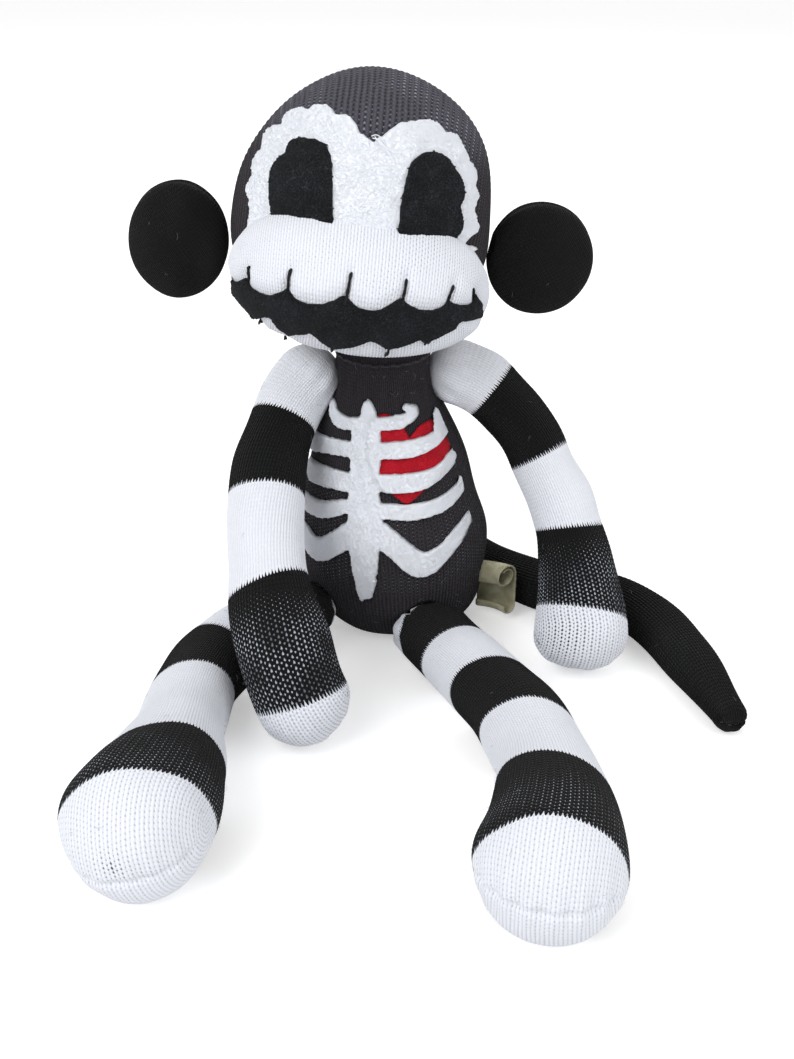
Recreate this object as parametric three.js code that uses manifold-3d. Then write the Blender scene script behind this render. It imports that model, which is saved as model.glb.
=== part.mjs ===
// A stuffed sock monkey, sitting with its legs out and its hands on the ground.
// Millimetres, +Z up. The toy looks along -Y, and its own left is +X.
// The origin is the centre of the flat seat under the body.
import * as THREE from 'three';
import Module from 'manifold-3d';

const wasm = await Module();
wasm.setup();

const deg = THREE.MathUtils.degToRad;
const vec = (x, y, z) => new THREE.Vector3(x, y, z);

// Cloth, thread and the room between pieces
const knitThickness = 1.2;
const feltThickness = 1.2;
const heartThickness = 0.8;
const threadRadius = 0.5;
const pieceGap = 0.3;
const jointGap = 0.45;
const floorCut = 0.5;

// Body: a pear, with the widest part low down and a domed neck on top
const seatRadius = 22;
const hipRadius = 31;
const hipHeight = 7;
const bellyRadius = 36.4;
const bellyHeight = 31;
const waistRadius = 33.2;
const waistHeight = 53;
const chestRadius = 26.2;
const chestHeight = 77;
const collarRadius = 19.4;
const collarHeight = 95;
const neckRadius = 17.5;
const neckHeight = 106;
const bodyLean = vec(-5, -2, 0);
const bodyTurn = -18;

// Head, in its own frame, tilted to one side
const headCentre = vec(-12, -6, 164.5);
const headTilt = deg(6);
const headHalfWidth = 46;
const headHalfDepth = 45;
const headWaist = -6;
const headUp = 51.6;
const headDown = 42.5;

// Muzzle, in the head's frame
const muzzleCentre = vec(1.8, -30, -16.2);
const muzzleHalfWidth = 44;
const muzzleHalfDepth = 28;
const muzzleHalfHeight = 26.2;

// Ears, in the head's frame
const rightEarHalfWidth = 17.3;
const leftEarHalfWidth = 18.6;
const earHalfDepth = 7.5;
const earHalfHeight = 20.6;
const earSeam = 46.3;
const earSeamInset = 1.5;
const rightEarHeight = -18.7;
const leftEarHeight = -13.3;
const earFold = 25;
const earOpening = 2.4;

// Felt on the face, in the head's frame
const maskHalfWidth = 38.5;
const maskTop = 35.5;
const maskNotch = 31;
const maskBottom = -8;
const maskScallops = 9;
const scallopDepth = 1.2;
const faceMiddle = 1;
const eyeHalfWidth = 10.5;
const eyeTop = 28.2;
const eyeBottom = 2;
const eyeSpread = 21;

// Mouth and teeth, in the muzzle's frame
const mouthHalfWidth = 41;
const mouthLine = 1.2;
const mouthDrop = 19;
const mouthScallop = 2.6;
const teeth = [-37.5, -23.6, -4.4, 14, 29.4, 38];
const toothLines = 9;

// Felt on the body, in a frame turned with the chest
const sternumHalfWidth = 5.4;
const sternumTop = 97;
const sternumTip = 21.4;
const ribWidth = 5;
const ribs = [
  [[0, 89.5], [12, 88.2], [15.6, 91], [12.6, 95.5]],
  [[0, 81], [14, 80], [24, 80.6], [26, 85], [20.5, 90.5]],
  [[0, 69.4], [15, 68.2], [26.5, 69], [27.6, 73]],
  [[0, 58.8], [15, 57.6], [29, 58.6], [30, 63.6]],
  [[0, 50], [20.3, 36.5], [26, 40], [32, 48.4]],
];
const heartCentre = [14.4, 76.4];
const heartHalfWidth = 12.6;
const heartHeight = 30;

// Limbs: a root ball at the joint, a path to the tip and the radius along it
const shoulderRadius = 12;
const armRadius = 12.2;
const handRadius = 17;
const hipBallRadius = 12.5;
const legRadius = 13.8;
const kneeRadius = 15.6;
const footRadius = 22.8;
const tailRootRadius = 9;
const tailRadius = 9.6;
const tailTipRadius = 6;
const seamOpening = 5;

// Side tag: a ribbon sewn in along one end, with its top edge rolled up and its foot bent
const tagTop = 24.5;
const tagBottom = 4.5;
const tagOut = 11;
const tagRollRadius = 3.2;
const tagRollTurns = 1.3;
const tagRollTightening = 0.5;
const tagFootRadius = 1.8;
const ribbonThickness = 0.7;
const tagTurn = -12;

// Facets, and the distance within which two corners are one
const mergeDistance = 1e-4;
const sides = { body: 22, head: 22, muzzle: 20, ear: 14, limb: 14, lining: 8, ball: 16, neck: 26 };
const rows = { body: 10, head: 13, muzzle: 10, ear: 8 };
const liningRows = { body: 7, head: 8, muzzle: 7, ear: 5 };

// A closed skin through rings of points, with one point at each end.
function skin(rings, first, last) {
  const count = rings[0].length;
  const points = [first, ...rings.flat(), last];
  const at = (ring, side) => 1 + ring * count + (side % count);
  const index = [];
  for (let s = 0; s < count; s += 1) {
    index.push(0, at(0, s + 1), at(0, s));
    index.push(points.length - 1, at(rings.length - 1, s), at(rings.length - 1, s + 1));
  }
  for (let r = 0; r + 1 < rings.length; r += 1) {
    for (let s = 0; s < count; s += 1) {
      index.push(at(r, s), at(r, s + 1), at(r + 1, s + 1));
      index.push(at(r, s), at(r + 1, s + 1), at(r + 1, s));
    }
  }
  const geometry = new THREE.BufferGeometry().setFromPoints(points);
  geometry.setIndex(index);
  return geometry;
}

// The solid that a closed geometry bounds: equal corners are merged first.
function solid(geometry) {
  const place = geometry.getAttribute('position');
  const order = geometry.index ? [...geometry.index.array] : [...Array(place.count).keys()];
  const known = new Map();
  const corners = [];
  const renamed = order.map((i) => {
    const p = [place.getX(i), place.getY(i), place.getZ(i)];
    const key = p.map((value) => Math.round(value / mergeDistance)).join();
    if (!known.has(key)) {
      known.set(key, corners.length / 3);
      corners.push(...p);
    }
    return known.get(key);
  });
  const faces = [];
  for (let i = 0; i < renamed.length; i += 3) {
    const [a, b, c] = renamed.slice(i, i + 3);
    if (a !== b && b !== c && c !== a) faces.push(a, b, c);
  }
  return new wasm.Manifold(new wasm.Mesh({
    numProp: 3,
    vertProperties: new Float32Array(corners),
    triVerts: new Uint32Array(faces),
  }));
}

function moved(geometry, x, y, z) {
  return geometry.clone().translate(x, y, z);
}

function ball(centre, radius, count = sides.ball) {
  const geometry = new THREE.SphereGeometry(radius, count, Math.round(count * 0.6));
  return solid(moved(geometry.rotateX(Math.PI / 2), centre.x, centre.y, centre.z));
}

// The body's profile: radius against height, from the seat to the neck
const bodyOutline = new THREE.SplineCurve([
  new THREE.Vector2(seatRadius, -floorCut),
  new THREE.Vector2(hipRadius, hipHeight),
  new THREE.Vector2(bellyRadius, bellyHeight),
  new THREE.Vector2(waistRadius, waistHeight),
  new THREE.Vector2(chestRadius, chestHeight),
  new THREE.Vector2(collarRadius, collarHeight),
  new THREE.Vector2(neckRadius, neckHeight),
]);

// The body's skin, drawn in by inset, with a dome over the neck
function bodySkin(inset, count, steps) {
  const rings = [];
  const ring = (radius, height) => {
    const lean = bodyLean.clone().multiplyScalar(Math.min(1, height / neckHeight));
    const turn = (s) => (2 * Math.PI * s) / count;
    rings.push(Array.from({ length: count }, (_, s) => vec(
      lean.x + radius * Math.cos(turn(s)),
      lean.y + radius * Math.sin(turn(s)),
      height,
    )));
  };
  ring((seatRadius - inset) * 0.9, inset - floorCut);
  for (let i = 1; i <= steps; i += 1) {
    const t = i / (steps + 1);
    const p = bodyOutline.getPoint(t);
    const along = bodyOutline.getTangent(t);
    ring(p.x - inset * along.y, p.y + inset * along.x);
  }
  const domeSteps = Math.max(4, Math.round(steps / 3));
  for (let i = 0; i < domeSteps; i += 1) {
    const rise = (Math.PI / 2) * (i / domeSteps);
    ring((neckRadius - inset) * Math.cos(rise), neckHeight + (neckRadius - inset) * Math.sin(rise));
  }
  const top = vec(bodyLean.x, bodyLean.y, neckHeight + neckRadius - inset);
  return skin(rings, vec(0, 0, inset - floorCut), top);
}

// An oval whose upper and lower halves have their own heights.
function ovalSkin(half, up, down, waist, inset, count, steps) {
  const rings = [];
  const height = (cosine) => waist + cosine * (cosine > 0 ? up - inset : down - inset);
  for (let i = 1; i < steps; i += 1) {
    const polar = Math.PI * (1 - i / steps);
    const wide = Math.sin(polar);
    rings.push(Array.from({ length: count }, (_, s) => vec(
      (half.x - inset) * wide * Math.cos((2 * Math.PI * s) / count),
      (half.y - inset) * wide * Math.sin((2 * Math.PI * s) / count),
      height(Math.cos(polar)),
    )));
  }
  return skin(rings, vec(0, 0, height(-1)), vec(0, 0, height(1)));
}

function headSkin(inset, count = sides.head, steps = rows.head) {
  const half = vec(headHalfWidth, headHalfDepth, 0);
  return ovalSkin(half, headUp, headDown, headWaist, inset, count, steps);
}

function muzzleSkin(inset, count = sides.muzzle, steps = rows.muzzle) {
  const half = vec(muzzleHalfWidth, muzzleHalfDepth, 0);
  return ovalSkin(half, muzzleHalfHeight, muzzleHalfHeight, 0, inset, count, steps);
}

// A stuffed tube along a path: a round root, a body of changing radius and a round tip.
function limbSkin(path, radiusAt, inset, count, steps) {
  const frames = path.computeFrenetFrames(steps, false);
  const rings = [];
  const ring = (centre, radius, k) => {
    const point = (s) => {
      const turn = (2 * Math.PI * s) / count;
      return centre.clone()
        .addScaledVector(frames.normals[k], radius * Math.cos(turn))
        .addScaledVector(frames.binormals[k], radius * Math.sin(turn));
    };
    rings.push(Array.from({ length: count }, (_, s) => point(s)));
  };
  const start = path.getPointAt(0);
  const end = path.getPointAt(1);
  const rootRadius = radiusAt(0) - inset;
  const tipRadius = radiusAt(1) - inset;
  const first = start.clone().addScaledVector(frames.tangents[0], -rootRadius);
  const last = end.clone().addScaledVector(frames.tangents[steps], tipRadius);
  const capSteps = count > sides.lining ? 4 : 3;
  for (let i = 1; i < capSteps; i += 1) {
    const rise = (Math.PI / 2) * (i / capSteps);
    const back = -rootRadius * Math.cos(rise);
    ring(start.clone().addScaledVector(frames.tangents[0], back), rootRadius * Math.sin(rise), 0);
  }
  for (let k = 0; k <= steps; k += 1) {
    ring(path.getPointAt(k / steps), radiusAt(k / steps) - inset, k);
  }
  for (let i = capSteps - 1; i > 0; i -= 1) {
    const rise = (Math.PI / 2) * (i / capSteps);
    const ahead = tipRadius * Math.cos(rise);
    ring(end.clone().addScaledVector(frames.tangents[steps], ahead), tipRadius * Math.sin(rise), steps);
  }
  return skin(rings, first, last);
}

// A radius that runs smoothly through pairs of place along the limb and radius.
function radiusThrough(pairs) {
  return (t) => {
    const next = Math.min(pairs.length - 1, Math.max(1, pairs.findIndex(([at]) => at >= t)));
    const [t0, r0] = pairs[next - 1];
    const [t1, r1] = pairs[next];
    return THREE.MathUtils.lerp(r0, r1, THREE.MathUtils.smoothstep(t, t0, t1));
  };
}

// Everything below the ground, which flattens what the toy rests on
const ground = solid(moved(new THREE.BoxGeometry(600, 600, 100), 0, 0, -50));

const whiteKnit = new THREE.MeshStandardMaterial({ color: 0xeef0f4, roughness: 0.9 });
const blackKnit = new THREE.MeshStandardMaterial({ color: 0x17171b, roughness: 0.92 });
const charcoalKnit = new THREE.MeshStandardMaterial({ color: 0x3b353c, roughness: 0.92 });
const whiteFelt = new THREE.MeshStandardMaterial({ color: 0xf2f3f5, roughness: 0.97 });
const blackFelt = new THREE.MeshStandardMaterial({ color: 0x0d0d0f, roughness: 0.97 });
const redFelt = new THREE.MeshStandardMaterial({ color: 0xc4121d, roughness: 0.97 });
const blackThread = new THREE.MeshStandardMaterial({ color: 0x101012, roughness: 0.7 });
const greyThread = new THREE.MeshStandardMaterial({ color: 0x2c282d, roughness: 0.7 });
const creamRibbon = new THREE.MeshStandardMaterial({ color: 0xc9c6a4, roughness: 0.6 });
const filling = new THREE.MeshStandardMaterial({ color: 0xf6f4ee, roughness: 1 });

// A named mesh of a solid, with a material of its own
function piece(name, body, material) {
  const { vertProperties, triVerts } = body.getMesh();
  const geometry = new THREE.BufferGeometry();
  geometry.setAttribute('position', new THREE.BufferAttribute(vertProperties, 3));
  geometry.setIndex(new THREE.BufferAttribute(triVerts, 1));
  geometry.computeVertexNormals();
  const mesh = new THREE.Mesh(geometry, material.clone());
  mesh.name = name;
  return mesh;
}

// The cloth between two skins
function cloth(skinAt, thickness = knitThickness) {
  return solid(skinAt(0)).subtract(solid(skinAt(thickness, true)));
}

function stuffing(skinAt) {
  return solid(skinAt(knitThickness + pieceGap, true));
}

const monkey = new THREE.Group();

// The joints' centres
const neckPivot = vec(bodyLean.x, bodyLean.y, neckHeight);
const limbs = {
  right_arm: {
    pivot: vec(-32.6, -1, 99),
    path: [vec(-21, -11, -22), vec(-18.9, -73.5, -47.8), vec(-0.5, -89, -82)],
    radius: [[0, shoulderRadius], [0.4, armRadius + 1.2], [0.66, armRadius + 0.6], [1, handRadius]],
    axis: vec(-1, 0, 0),
    limits: [0, 45],
    steps: 13,
    material: whiteKnit,
  },
  left_arm: {
    pivot: vec(22.6, -1, 101),
    path: [vec(30, -2, -11), vec(47, -23, -57), vec(45, -47, -83.5)],
    radius: [[0, shoulderRadius], [0.4, armRadius - 1.2], [0.62, armRadius], [1, handRadius]],
    axis: vec(-1, 0, 0),
    limits: [-3, 60],
    steps: 13,
    material: whiteKnit,
  },
  right_leg: {
    pivot: vec(-35.8, -23.4, 12.6),
    path: [vec(-44.6, -49.9, 1.8), vec(-38.1, -70.8, 2.2), vec(-43.2, -135.2, 9.7)],
    radius: [[0, hipBallRadius], [0.2, legRadius], [0.6, kneeRadius], [1, footRadius]],
    axis: vec(0, 0, -1),
    limits: [0, 20],
    steps: 14,
    material: whiteKnit,
  },
  left_leg: {
    pivot: vec(12.6, -39.2, 12.6),
    path: [vec(14, -34, 1), vec(46, -74, 6), vec(31, -139, 9.7)],
    radius: [[0, hipBallRadius], [0.2, legRadius], [0.6, kneeRadius], [1, footRadius]],
    axis: vec(0.976296, 0.21644, 0),
    limits: [-45, 0],
    steps: 14,
    material: whiteKnit,
  },
  tail: {
    pivot: vec(27.5, 27.5, 10),
    path: [vec(45.9, -64.8, -1.3), vec(66.4, 0.6, 1.3), vec(88.1, -112.5, -3.6)],
    radius: [[0, tailRootRadius], [0.4, tailRadius], [0.75, tailRadius], [1, tailTipRadius]],
    axis: vec(0, 0, 1),
    limits: [0, 40],
    steps: 13,
    material: blackKnit,
  },
};

// A limb's skin about its own joint, drawn in by inset
function limbAt({ path, radius, steps }) {
  const line = new THREE.CubicBezierCurve3(vec(0, 0, 0), ...path);
  const radiusAt = radiusThrough(radius);
  return (inset, lining) => (lining
    ? limbSkin(line, radiusAt, inset, sides.lining, Math.round(steps * 0.55))
    : limbSkin(line, radiusAt, inset, sides.limb, steps));
}

// A solid turned about an axis through the origin
function turned(body, axis, degrees) {
  const turn = new THREE.Matrix4().makeRotationAxis(axis, deg(degrees));
  return body.transform(turn.elements);
}

// The room that a limb needs, in the toy's frame, over its whole swing
function swingRoom(limb, gap) {
  const shape = solid(limbAt(limb)(-gap));
  const [low, high] = limb.limits;
  const turns = [low, 0, high / 4, high / 2, high];
  const union = turns.map((t) => turned(shape, limb.axis, t)).reduce((a, b) => a.add(b));
  return union.translate(limb.pivot.toArray());
}

// Body: cover, stuffing and the felt on the chest
const limbSockets = (extra) => Object.values(limbs).map(
  ({ pivot, radius }) => ball(pivot, radius[0][1] + extra),
);
const bodyAt = (inset, lining) => (lining
  ? bodySkin(inset, 1.5 * sides.lining, liningRows.body)
  : bodySkin(inset, sides.body, rows.body));

let bodyCover = cloth(bodyAt).subtract(ground);
for (const socket of limbSockets(jointGap)) bodyCover = bodyCover.subtract(socket);
let bodyFilling = stuffing(bodyAt);
for (const socket of limbSockets(jointGap)) bodyFilling = bodyFilling.subtract(socket);
monkey.add(piece('body_cover', bodyCover, charcoalKnit));
monkey.add(piece('body_stuffing', bodyFilling, filling));

// The main body of a solid that a cut has left with loose tips
function largest(body) {
  return body.decompose().reduce((a, b) => (a.volume() > b.volume() ? a : b));
}

// A flat outline pushed straight back through the front of a form
function prism(shape, depth) {
  const geometry = new THREE.ExtrudeGeometry(shape, { depth, bevelEnabled: false });
  return geometry.rotateX(Math.PI / 2);
}

// A strip of even width along a smooth line, with round ends
function strip(points, width) {
  const line = new THREE.SplineCurve(points.map(([x, y]) => new THREE.Vector2(x, y)));
  const steps = 2 * (points.length - 1);
  const edge = (side) => Array.from({ length: steps + 1 }, (_, i) => {
    const t = i / steps;
    const along = line.getTangent(t);
    const across = new THREE.Vector2(-along.y, along.x).multiplyScalar((side * width) / 2);
    return line.getPoint(t).add(across);
  });
  const end = line.getPoint(1).addScaledVector(line.getTangent(1), width / 2);
  return new THREE.Shape([...edge(-1), end, ...edge(1).reverse()]);
}

function chestPrism(shape, mirror) {
  const geometry = prism(shape, 60);
  const body = solid(geometry);
  const sided = mirror ? body.mirror([1, 0, 0]) : body;
  return sided.rotate([0, 0, bodyTurn]);
}

function bodyOut(gap) {
  return solid(bodySkin(-gap, sides.body, rows.body));
}

function bodyShell(inner, outer) {
  return bodyOut(outer).subtract(bodyOut(inner));
}

// The heart's outline, let out by grow
function heartShape(grow) {
  const [x, z] = heartCentre;
  const wide = heartHalfWidth + grow;
  const tall = heartHeight + 2 * grow;
  const shape = new THREE.Shape();
  shape.moveTo(x, z - tall / 2 - grow);
  for (const side of [1, -1]) {
    const lobe = [x + side * wide * 0.4, z + tall * 0.46];
    const outer = [x + side * wide * 1.1, z - tall * 0.1, x + side * wide * 1.2, z + tall * 0.52];
    const notch = [x + side * wide * 0.1, z + tall * 0.44];
    if (side > 0) {
      shape.bezierCurveTo(...outer, ...lobe);
      shape.quadraticCurveTo(...notch, x, z + tall * 0.28);
    } else {
      shape.quadraticCurveTo(...notch, ...lobe);
      shape.bezierCurveTo(outer[2], outer[3], outer[0], outer[1], x, z - tall / 2 - grow);
    }
  }
  return new THREE.Shape(shape.getPoints(5));
}
const heartTop = pieceGap + heartThickness;
const heart = chestPrism(heartShape(0), false).intersect(bodyShell(pieceGap, heartTop));
monkey.add(piece('heart', heart, redFelt));

const sternum = new THREE.Shape([
  [0, sternumTip], [sternumHalfWidth * 0.7, sternumTip + 8], [sternumHalfWidth * 1.15, sternumTip + 30],
  [sternumHalfWidth, sternumTop - 40], [sternumHalfWidth, sternumTop - 8],
  [sternumHalfWidth * 0.6, sternumTop - 1], [-sternumHalfWidth * 0.6, sternumTop - 1],
  [-sternumHalfWidth, sternumTop - 8], [-sternumHalfWidth, sternumTop - 40],
  [-sternumHalfWidth * 1.15, sternumTip + 30], [-sternumHalfWidth * 0.7, sternumTip + 8],
].map(([x, z]) => new THREE.Vector2(x, z)));
let cage = chestPrism(sternum, false);
for (const rib of ribs) {
  for (const mirror of [false, true]) cage = cage.add(chestPrism(strip(rib, ribWidth), mirror));
}
const overHeart = bodyOut(heartTop + pieceGap).intersect(
  chestPrism(heartShape(4 * pieceGap), false),
);
const cageShell = bodyShell(pieceGap, heartTop + pieceGap + heartThickness);
let ribcage = cage.intersect(cageShell).subtract(overHeart);
for (const arm of [limbs.right_arm, limbs.left_arm]) {
  ribcage = ribcage.subtract(swingRoom(arm, jointGap));
}
monkey.add(piece('ribcage', largest(ribcage), whiteFelt));

// Side tag: its section is a spiral at the top, a straight fall and a curved foot
const tagSection = [];
const rollEighths = Math.round(8 * tagRollTurns);
for (let i = rollEighths; i >= 0; i -= 1) {
  const turn = (Math.PI / 4) * i;
  const radius = tagRollRadius * (1 - (tagRollTightening * i) / rollEighths);
  tagSection.push([
    radius * Math.cos(turn) - tagRollRadius,
    radius * Math.sin(turn) + tagTop - tagRollRadius,
  ]);
}
const fallTop = tagTop - tagRollRadius;
const fallFoot = tagBottom + tagFootRadius;
for (const share of [0.15, 0.5, 0.85]) {
  tagSection.push([0, THREE.MathUtils.lerp(fallTop, fallFoot, share)]);
}
for (let i = 0; i <= 3; i += 1) {
  const turn = (-Math.PI / 4) * i;
  tagSection.push([
    tagFootRadius * (Math.cos(turn) - 1),
    tagFootRadius * Math.sin(turn) + fallFoot,
  ]);
}
const tagReach = bellyRadius + tagOut;
const tagRibbon = new THREE.ExtrudeGeometry(strip(tagSection, ribbonThickness), {
  depth: tagReach - seatRadius, bevelEnabled: false,
});
tagRibbon.applyMatrix4(new THREE.Matrix4().makeBasis(vec(0, 1, 0), vec(0, 0, 1), vec(1, 0, 0)));
tagRibbon.translate(seatRadius, 0, 0).rotateZ(deg(tagTurn));
const tag = solid(tagRibbon).subtract(bodyOut(pieceGap));
monkey.add(piece('side_tag', largest(tag), creamRibbon));

// Neck seam: the thread that draws the neck in and joins the head
const seamHeight = 4.5;
const seamRadius = Math.sqrt(neckRadius ** 2 - seamHeight ** 2) + pieceGap + threadRadius;
const neckSeam = new THREE.TorusGeometry(seamRadius, threadRadius, 5, 24);
const neckStitching = piece('neck_stitching', solid(neckSeam), greyThread);
neckStitching.position.copy(neckPivot).add(vec(0, 0, seamHeight));
monkey.add(neckStitching);

// Head: everything on it shares its tilted frame
const head = new THREE.Group();
head.position.copy(headCentre);
head.rotation.y = headTilt;
monkey.add(head);
head.updateMatrixWorld(true);
const neckDish = ball(head.worldToLocal(neckPivot.clone()), neckRadius + jointGap, sides.neck);
const headAt = (inset, lining) => (lining
  ? headSkin(inset, 1.5 * sides.lining, liningRows.head)
  : headSkin(inset));
head.add(piece('head_cover', cloth(headAt).subtract(neckDish), charcoalKnit));
head.add(piece('head_stuffing', stuffing(headAt).subtract(neckDish), filling));

// Muzzle: cut to the head, so that it lies against it
const muzzleTo = ({ x, y, z }, body) => body.translate([x, y, z]);
const muzzleSolid = (inset, lining) => muzzleTo(
  muzzleCentre,
  solid(lining
    ? muzzleSkin(inset, 1.5 * sides.lining, liningRows.muzzle)
    : muzzleSkin(inset)),
);
const headOut = (gap) => solid(headSkin(-gap));
const muzzleCover = muzzleSolid(0).subtract(muzzleSolid(knitThickness, true));
head.add(piece('muzzle_cover', muzzleCover.subtract(headOut(pieceGap)), whiteKnit));
const muzzleFilling = muzzleSolid(knitThickness + pieceGap, true);
head.add(piece('muzzle_stuffing', muzzleFilling.subtract(headOut(pieceGap)), filling));

// A flat piece of felt that follows a form, between two distances from it
function facePrism(shape) {
  return solid(prism(shape, 80));
}

// Eye mask: two lobes with a notch between them and a scalloped outer edge
const maskPoints = [];
const maskSteps = 4 * maskScallops;
for (let i = 0; i <= maskSteps; i += 1) {
  const t = i / maskSteps;
  const turn = Math.PI * t;
  const notch = (maskTop - maskNotch) * Math.exp(-(((turn - Math.PI / 2) / 0.14) ** 2));
  const wave = scallopDepth * Math.abs(Math.sin(maskScallops * turn));
  const rise = Math.sin(turn) ** 0.72 * (maskTop + 1.5) - notch + wave - scallopDepth;
  const half = maskHalfWidth - scallopDepth + wave;
  maskPoints.push(new THREE.Vector2(faceMiddle + half * Math.cos(turn), Math.max(rise, maskBottom)));
}
maskPoints.push(new THREE.Vector2(faceMiddle - maskHalfWidth * 0.9, maskBottom));
maskPoints.push(new THREE.Vector2(faceMiddle + maskHalfWidth * 0.9, maskBottom));
const maskShell = (inner, outer) => headOut(outer).subtract(headOut(inner));
const muzzleRoom = muzzleSolid(-pieceGap);
const mask = facePrism(new THREE.Shape(maskPoints))
  .intersect(maskShell(pieceGap, pieceGap + feltThickness))
  .subtract(muzzleRoom);
head.add(piece('eye_mask', mask, whiteFelt));

// Eyes: round on top and straight below
function eyeShape(middle) {
  const shape = new THREE.Shape();
  shape.moveTo(middle - eyeHalfWidth, eyeBottom);
  shape.lineTo(middle + eyeHalfWidth, eyeBottom);
  shape.lineTo(middle + eyeHalfWidth, eyeTop - eyeHalfWidth);
  shape.absarc(middle, eyeTop - eyeHalfWidth, eyeHalfWidth, 0, Math.PI, false);
  return new THREE.Shape(shape.getPoints(8));
}
const eyeInner = 2 * pieceGap + feltThickness;
for (const [name, side] of [['right_eye', -1], ['left_eye', 1]]) {
  const eye = facePrism(eyeShape(faceMiddle + side * eyeSpread))
    .intersect(maskShell(eyeInner, eyeInner + feltThickness))
    .subtract(muzzleRoom);
  head.add(piece(name, eye, blackFelt));
}

// Mouth: a felt crescent with a scalloped edge above and below
const mouthShape = new THREE.Shape();
const upper = [];
const lower = [];
const edges = [-mouthHalfWidth, ...teeth.slice(1, -1), mouthHalfWidth];
for (let i = 0; i + 1 < edges.length; i += 1) {
  for (let k = 0; k < 4; k += 1) {
    const x = THREE.MathUtils.lerp(edges[i], edges[i + 1], k / 4);
    const bow = Math.sin((Math.PI * k) / 4);
    const fall = mouthDrop * Math.sqrt(Math.max(0, 1 - (x / mouthHalfWidth) ** 2));
    upper.push(new THREE.Vector2(x, mouthLine + 1 - mouthScallop * bow));
    lower.push(new THREE.Vector2(x, mouthLine - fall - mouthScallop * 0.6 * bow));
  }
}
upper.push(new THREE.Vector2(mouthHalfWidth, mouthLine + 1));
mouthShape.setFromPoints([...lower, ...upper.reverse()]);
const muzzleBand = (inner, outer) => muzzleSolid(-outer).subtract(muzzleSolid(-inner));
const onMuzzle = (body) => body.translate([muzzleCentre.x, 0, muzzleCentre.z]);
const mouth = onMuzzle(facePrism(mouthShape))
  .intersect(muzzleBand(pieceGap, pieceGap + feltThickness))
  .subtract(headOut(2 * pieceGap + feltThickness));
head.add(piece('mouth', largest(mouth), blackFelt));

// Tooth stitches: one long stitch up from each point of the mouth
teeth.forEach((x, i) => {
  const wide = 2 * threadRadius;
  const top = toothLines - 6 * (x / mouthHalfWidth) ** 2 + mouthLine;
  const line = new THREE.Shape([
    new THREE.Vector2(x - threadRadius, mouthLine + 1 + pieceGap),
    new THREE.Vector2(x + threadRadius, mouthLine + 1 + pieceGap),
    new THREE.Vector2(x + threadRadius, top),
    new THREE.Vector2(x - threadRadius, top),
  ]);
  const thread = onMuzzle(facePrism(line))
    .intersect(muzzleBand(pieceGap, pieceGap + wide))
    .subtract(headOut(2 * pieceGap + feltThickness));
  head.add(piece(`tooth_stitch_${i + 1}`, thread, blackThread));
});

// Ears: flat ovals that fold about their seam, so the head is cut away at each limit
const earAt = (halfWidth) => (inset, lining) => ovalSkin(
  vec(halfWidth, earHalfDepth, 0),
  earHalfHeight,
  earHalfHeight,
  0,
  inset,
  lining ? sides.lining : sides.ear,
  lining ? liningRows.ear : rows.ear,
);
for (const [name, side, height, halfWidth] of [
  ['right', -1, rightEarHeight, rightEarHalfWidth],
  ['left', 1, leftEarHeight, leftEarHalfWidth],
]) {
  const seam = vec(side * earSeam, 0, height);
  const fromSeam = side * (halfWidth - earSeamInset);
  const ear = new THREE.Group();
  ear.position.copy(seam);
  head.add(ear);
  const plug = new THREE.CylinderGeometry(earOpening, earOpening, earHalfDepth, 8);
  let cover = cloth(earAt(halfWidth))
    .translate([fromSeam, 0, 0])
    .subtract(solid(plug.rotateZ(Math.PI / 2)));
  let inside = stuffing(earAt(halfWidth)).translate([fromSeam, 0, 0]);
  for (const fold of [-earFold, 0, earFold]) {
    const away = headOut(jointGap)
      .translate([-seam.x, -seam.y, -seam.z])
      .rotate([0, 0, fold]);
    cover = cover.subtract(away);
    inside = inside.subtract(away);
  }
  ear.add(piece(`${name}_ear_cover`, cover, blackKnit));
  ear.add(piece(`${name}_ear_stuffing`, inside, filling));
}

// Limbs: each turns on its root ball, which sits in a socket of the body. Beside the
// ball, the body takes away what it would meet at rest and at each end of the swing.
for (const [name, limb] of Object.entries(limbs)) {
  const skinAt = limbAt(limb);
  const rootRadius = limb.radius[0][1];
  const toLimb = limb.pivot.clone().negate().toArray();
  const plugLength = rootRadius + 2;
  const plug = new THREE.CylinderGeometry(seamOpening, seamOpening, plugLength, 10);
  const back = new THREE.CubicBezierCurve3(vec(0, 0, 0), ...limb.path).getTangentAt(0).negate();
  plug.translate(0, plugLength / 2, 0);
  plug.applyQuaternion(new THREE.Quaternion().setFromUnitVectors(vec(0, 1, 0), back));
  const floorUnder = (lift) => ground.translate(toLimb).translate([0, 0, lift]);
  const lining = solid(skinAt(knitThickness, true)).subtract(floorUnder(knitThickness));
  let cover = solid(skinAt(0)).subtract(floorUnder(0)).subtract(lining).subtract(solid(plug));
  let inside = stuffing(skinAt).subtract(floorUnder(knitThickness + pieceGap));
  const root = ball(vec(0, 0, 0), rootRadius + pieceGap / 2, sides.neck);
  const bodyRoom = bodyOut(jointGap).translate(toLimb);
  for (const turn of [...limb.limits, 0]) {
    const away = turned(bodyRoom, limb.axis, -turn).subtract(root);
    cover = cover.subtract(away);
    inside = inside.subtract(away);
  }
  for (const [suffix, body, material] of [
    ['cover', cover, limb.material],
    ['stuffing', inside, filling],
  ]) {
    const mesh = piece(`${name}_${suffix}`, body, material);
    mesh.position.copy(limb.pivot);
    monkey.add(mesh);
  }
}

export default monkey;
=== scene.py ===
import functools
import math

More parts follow.
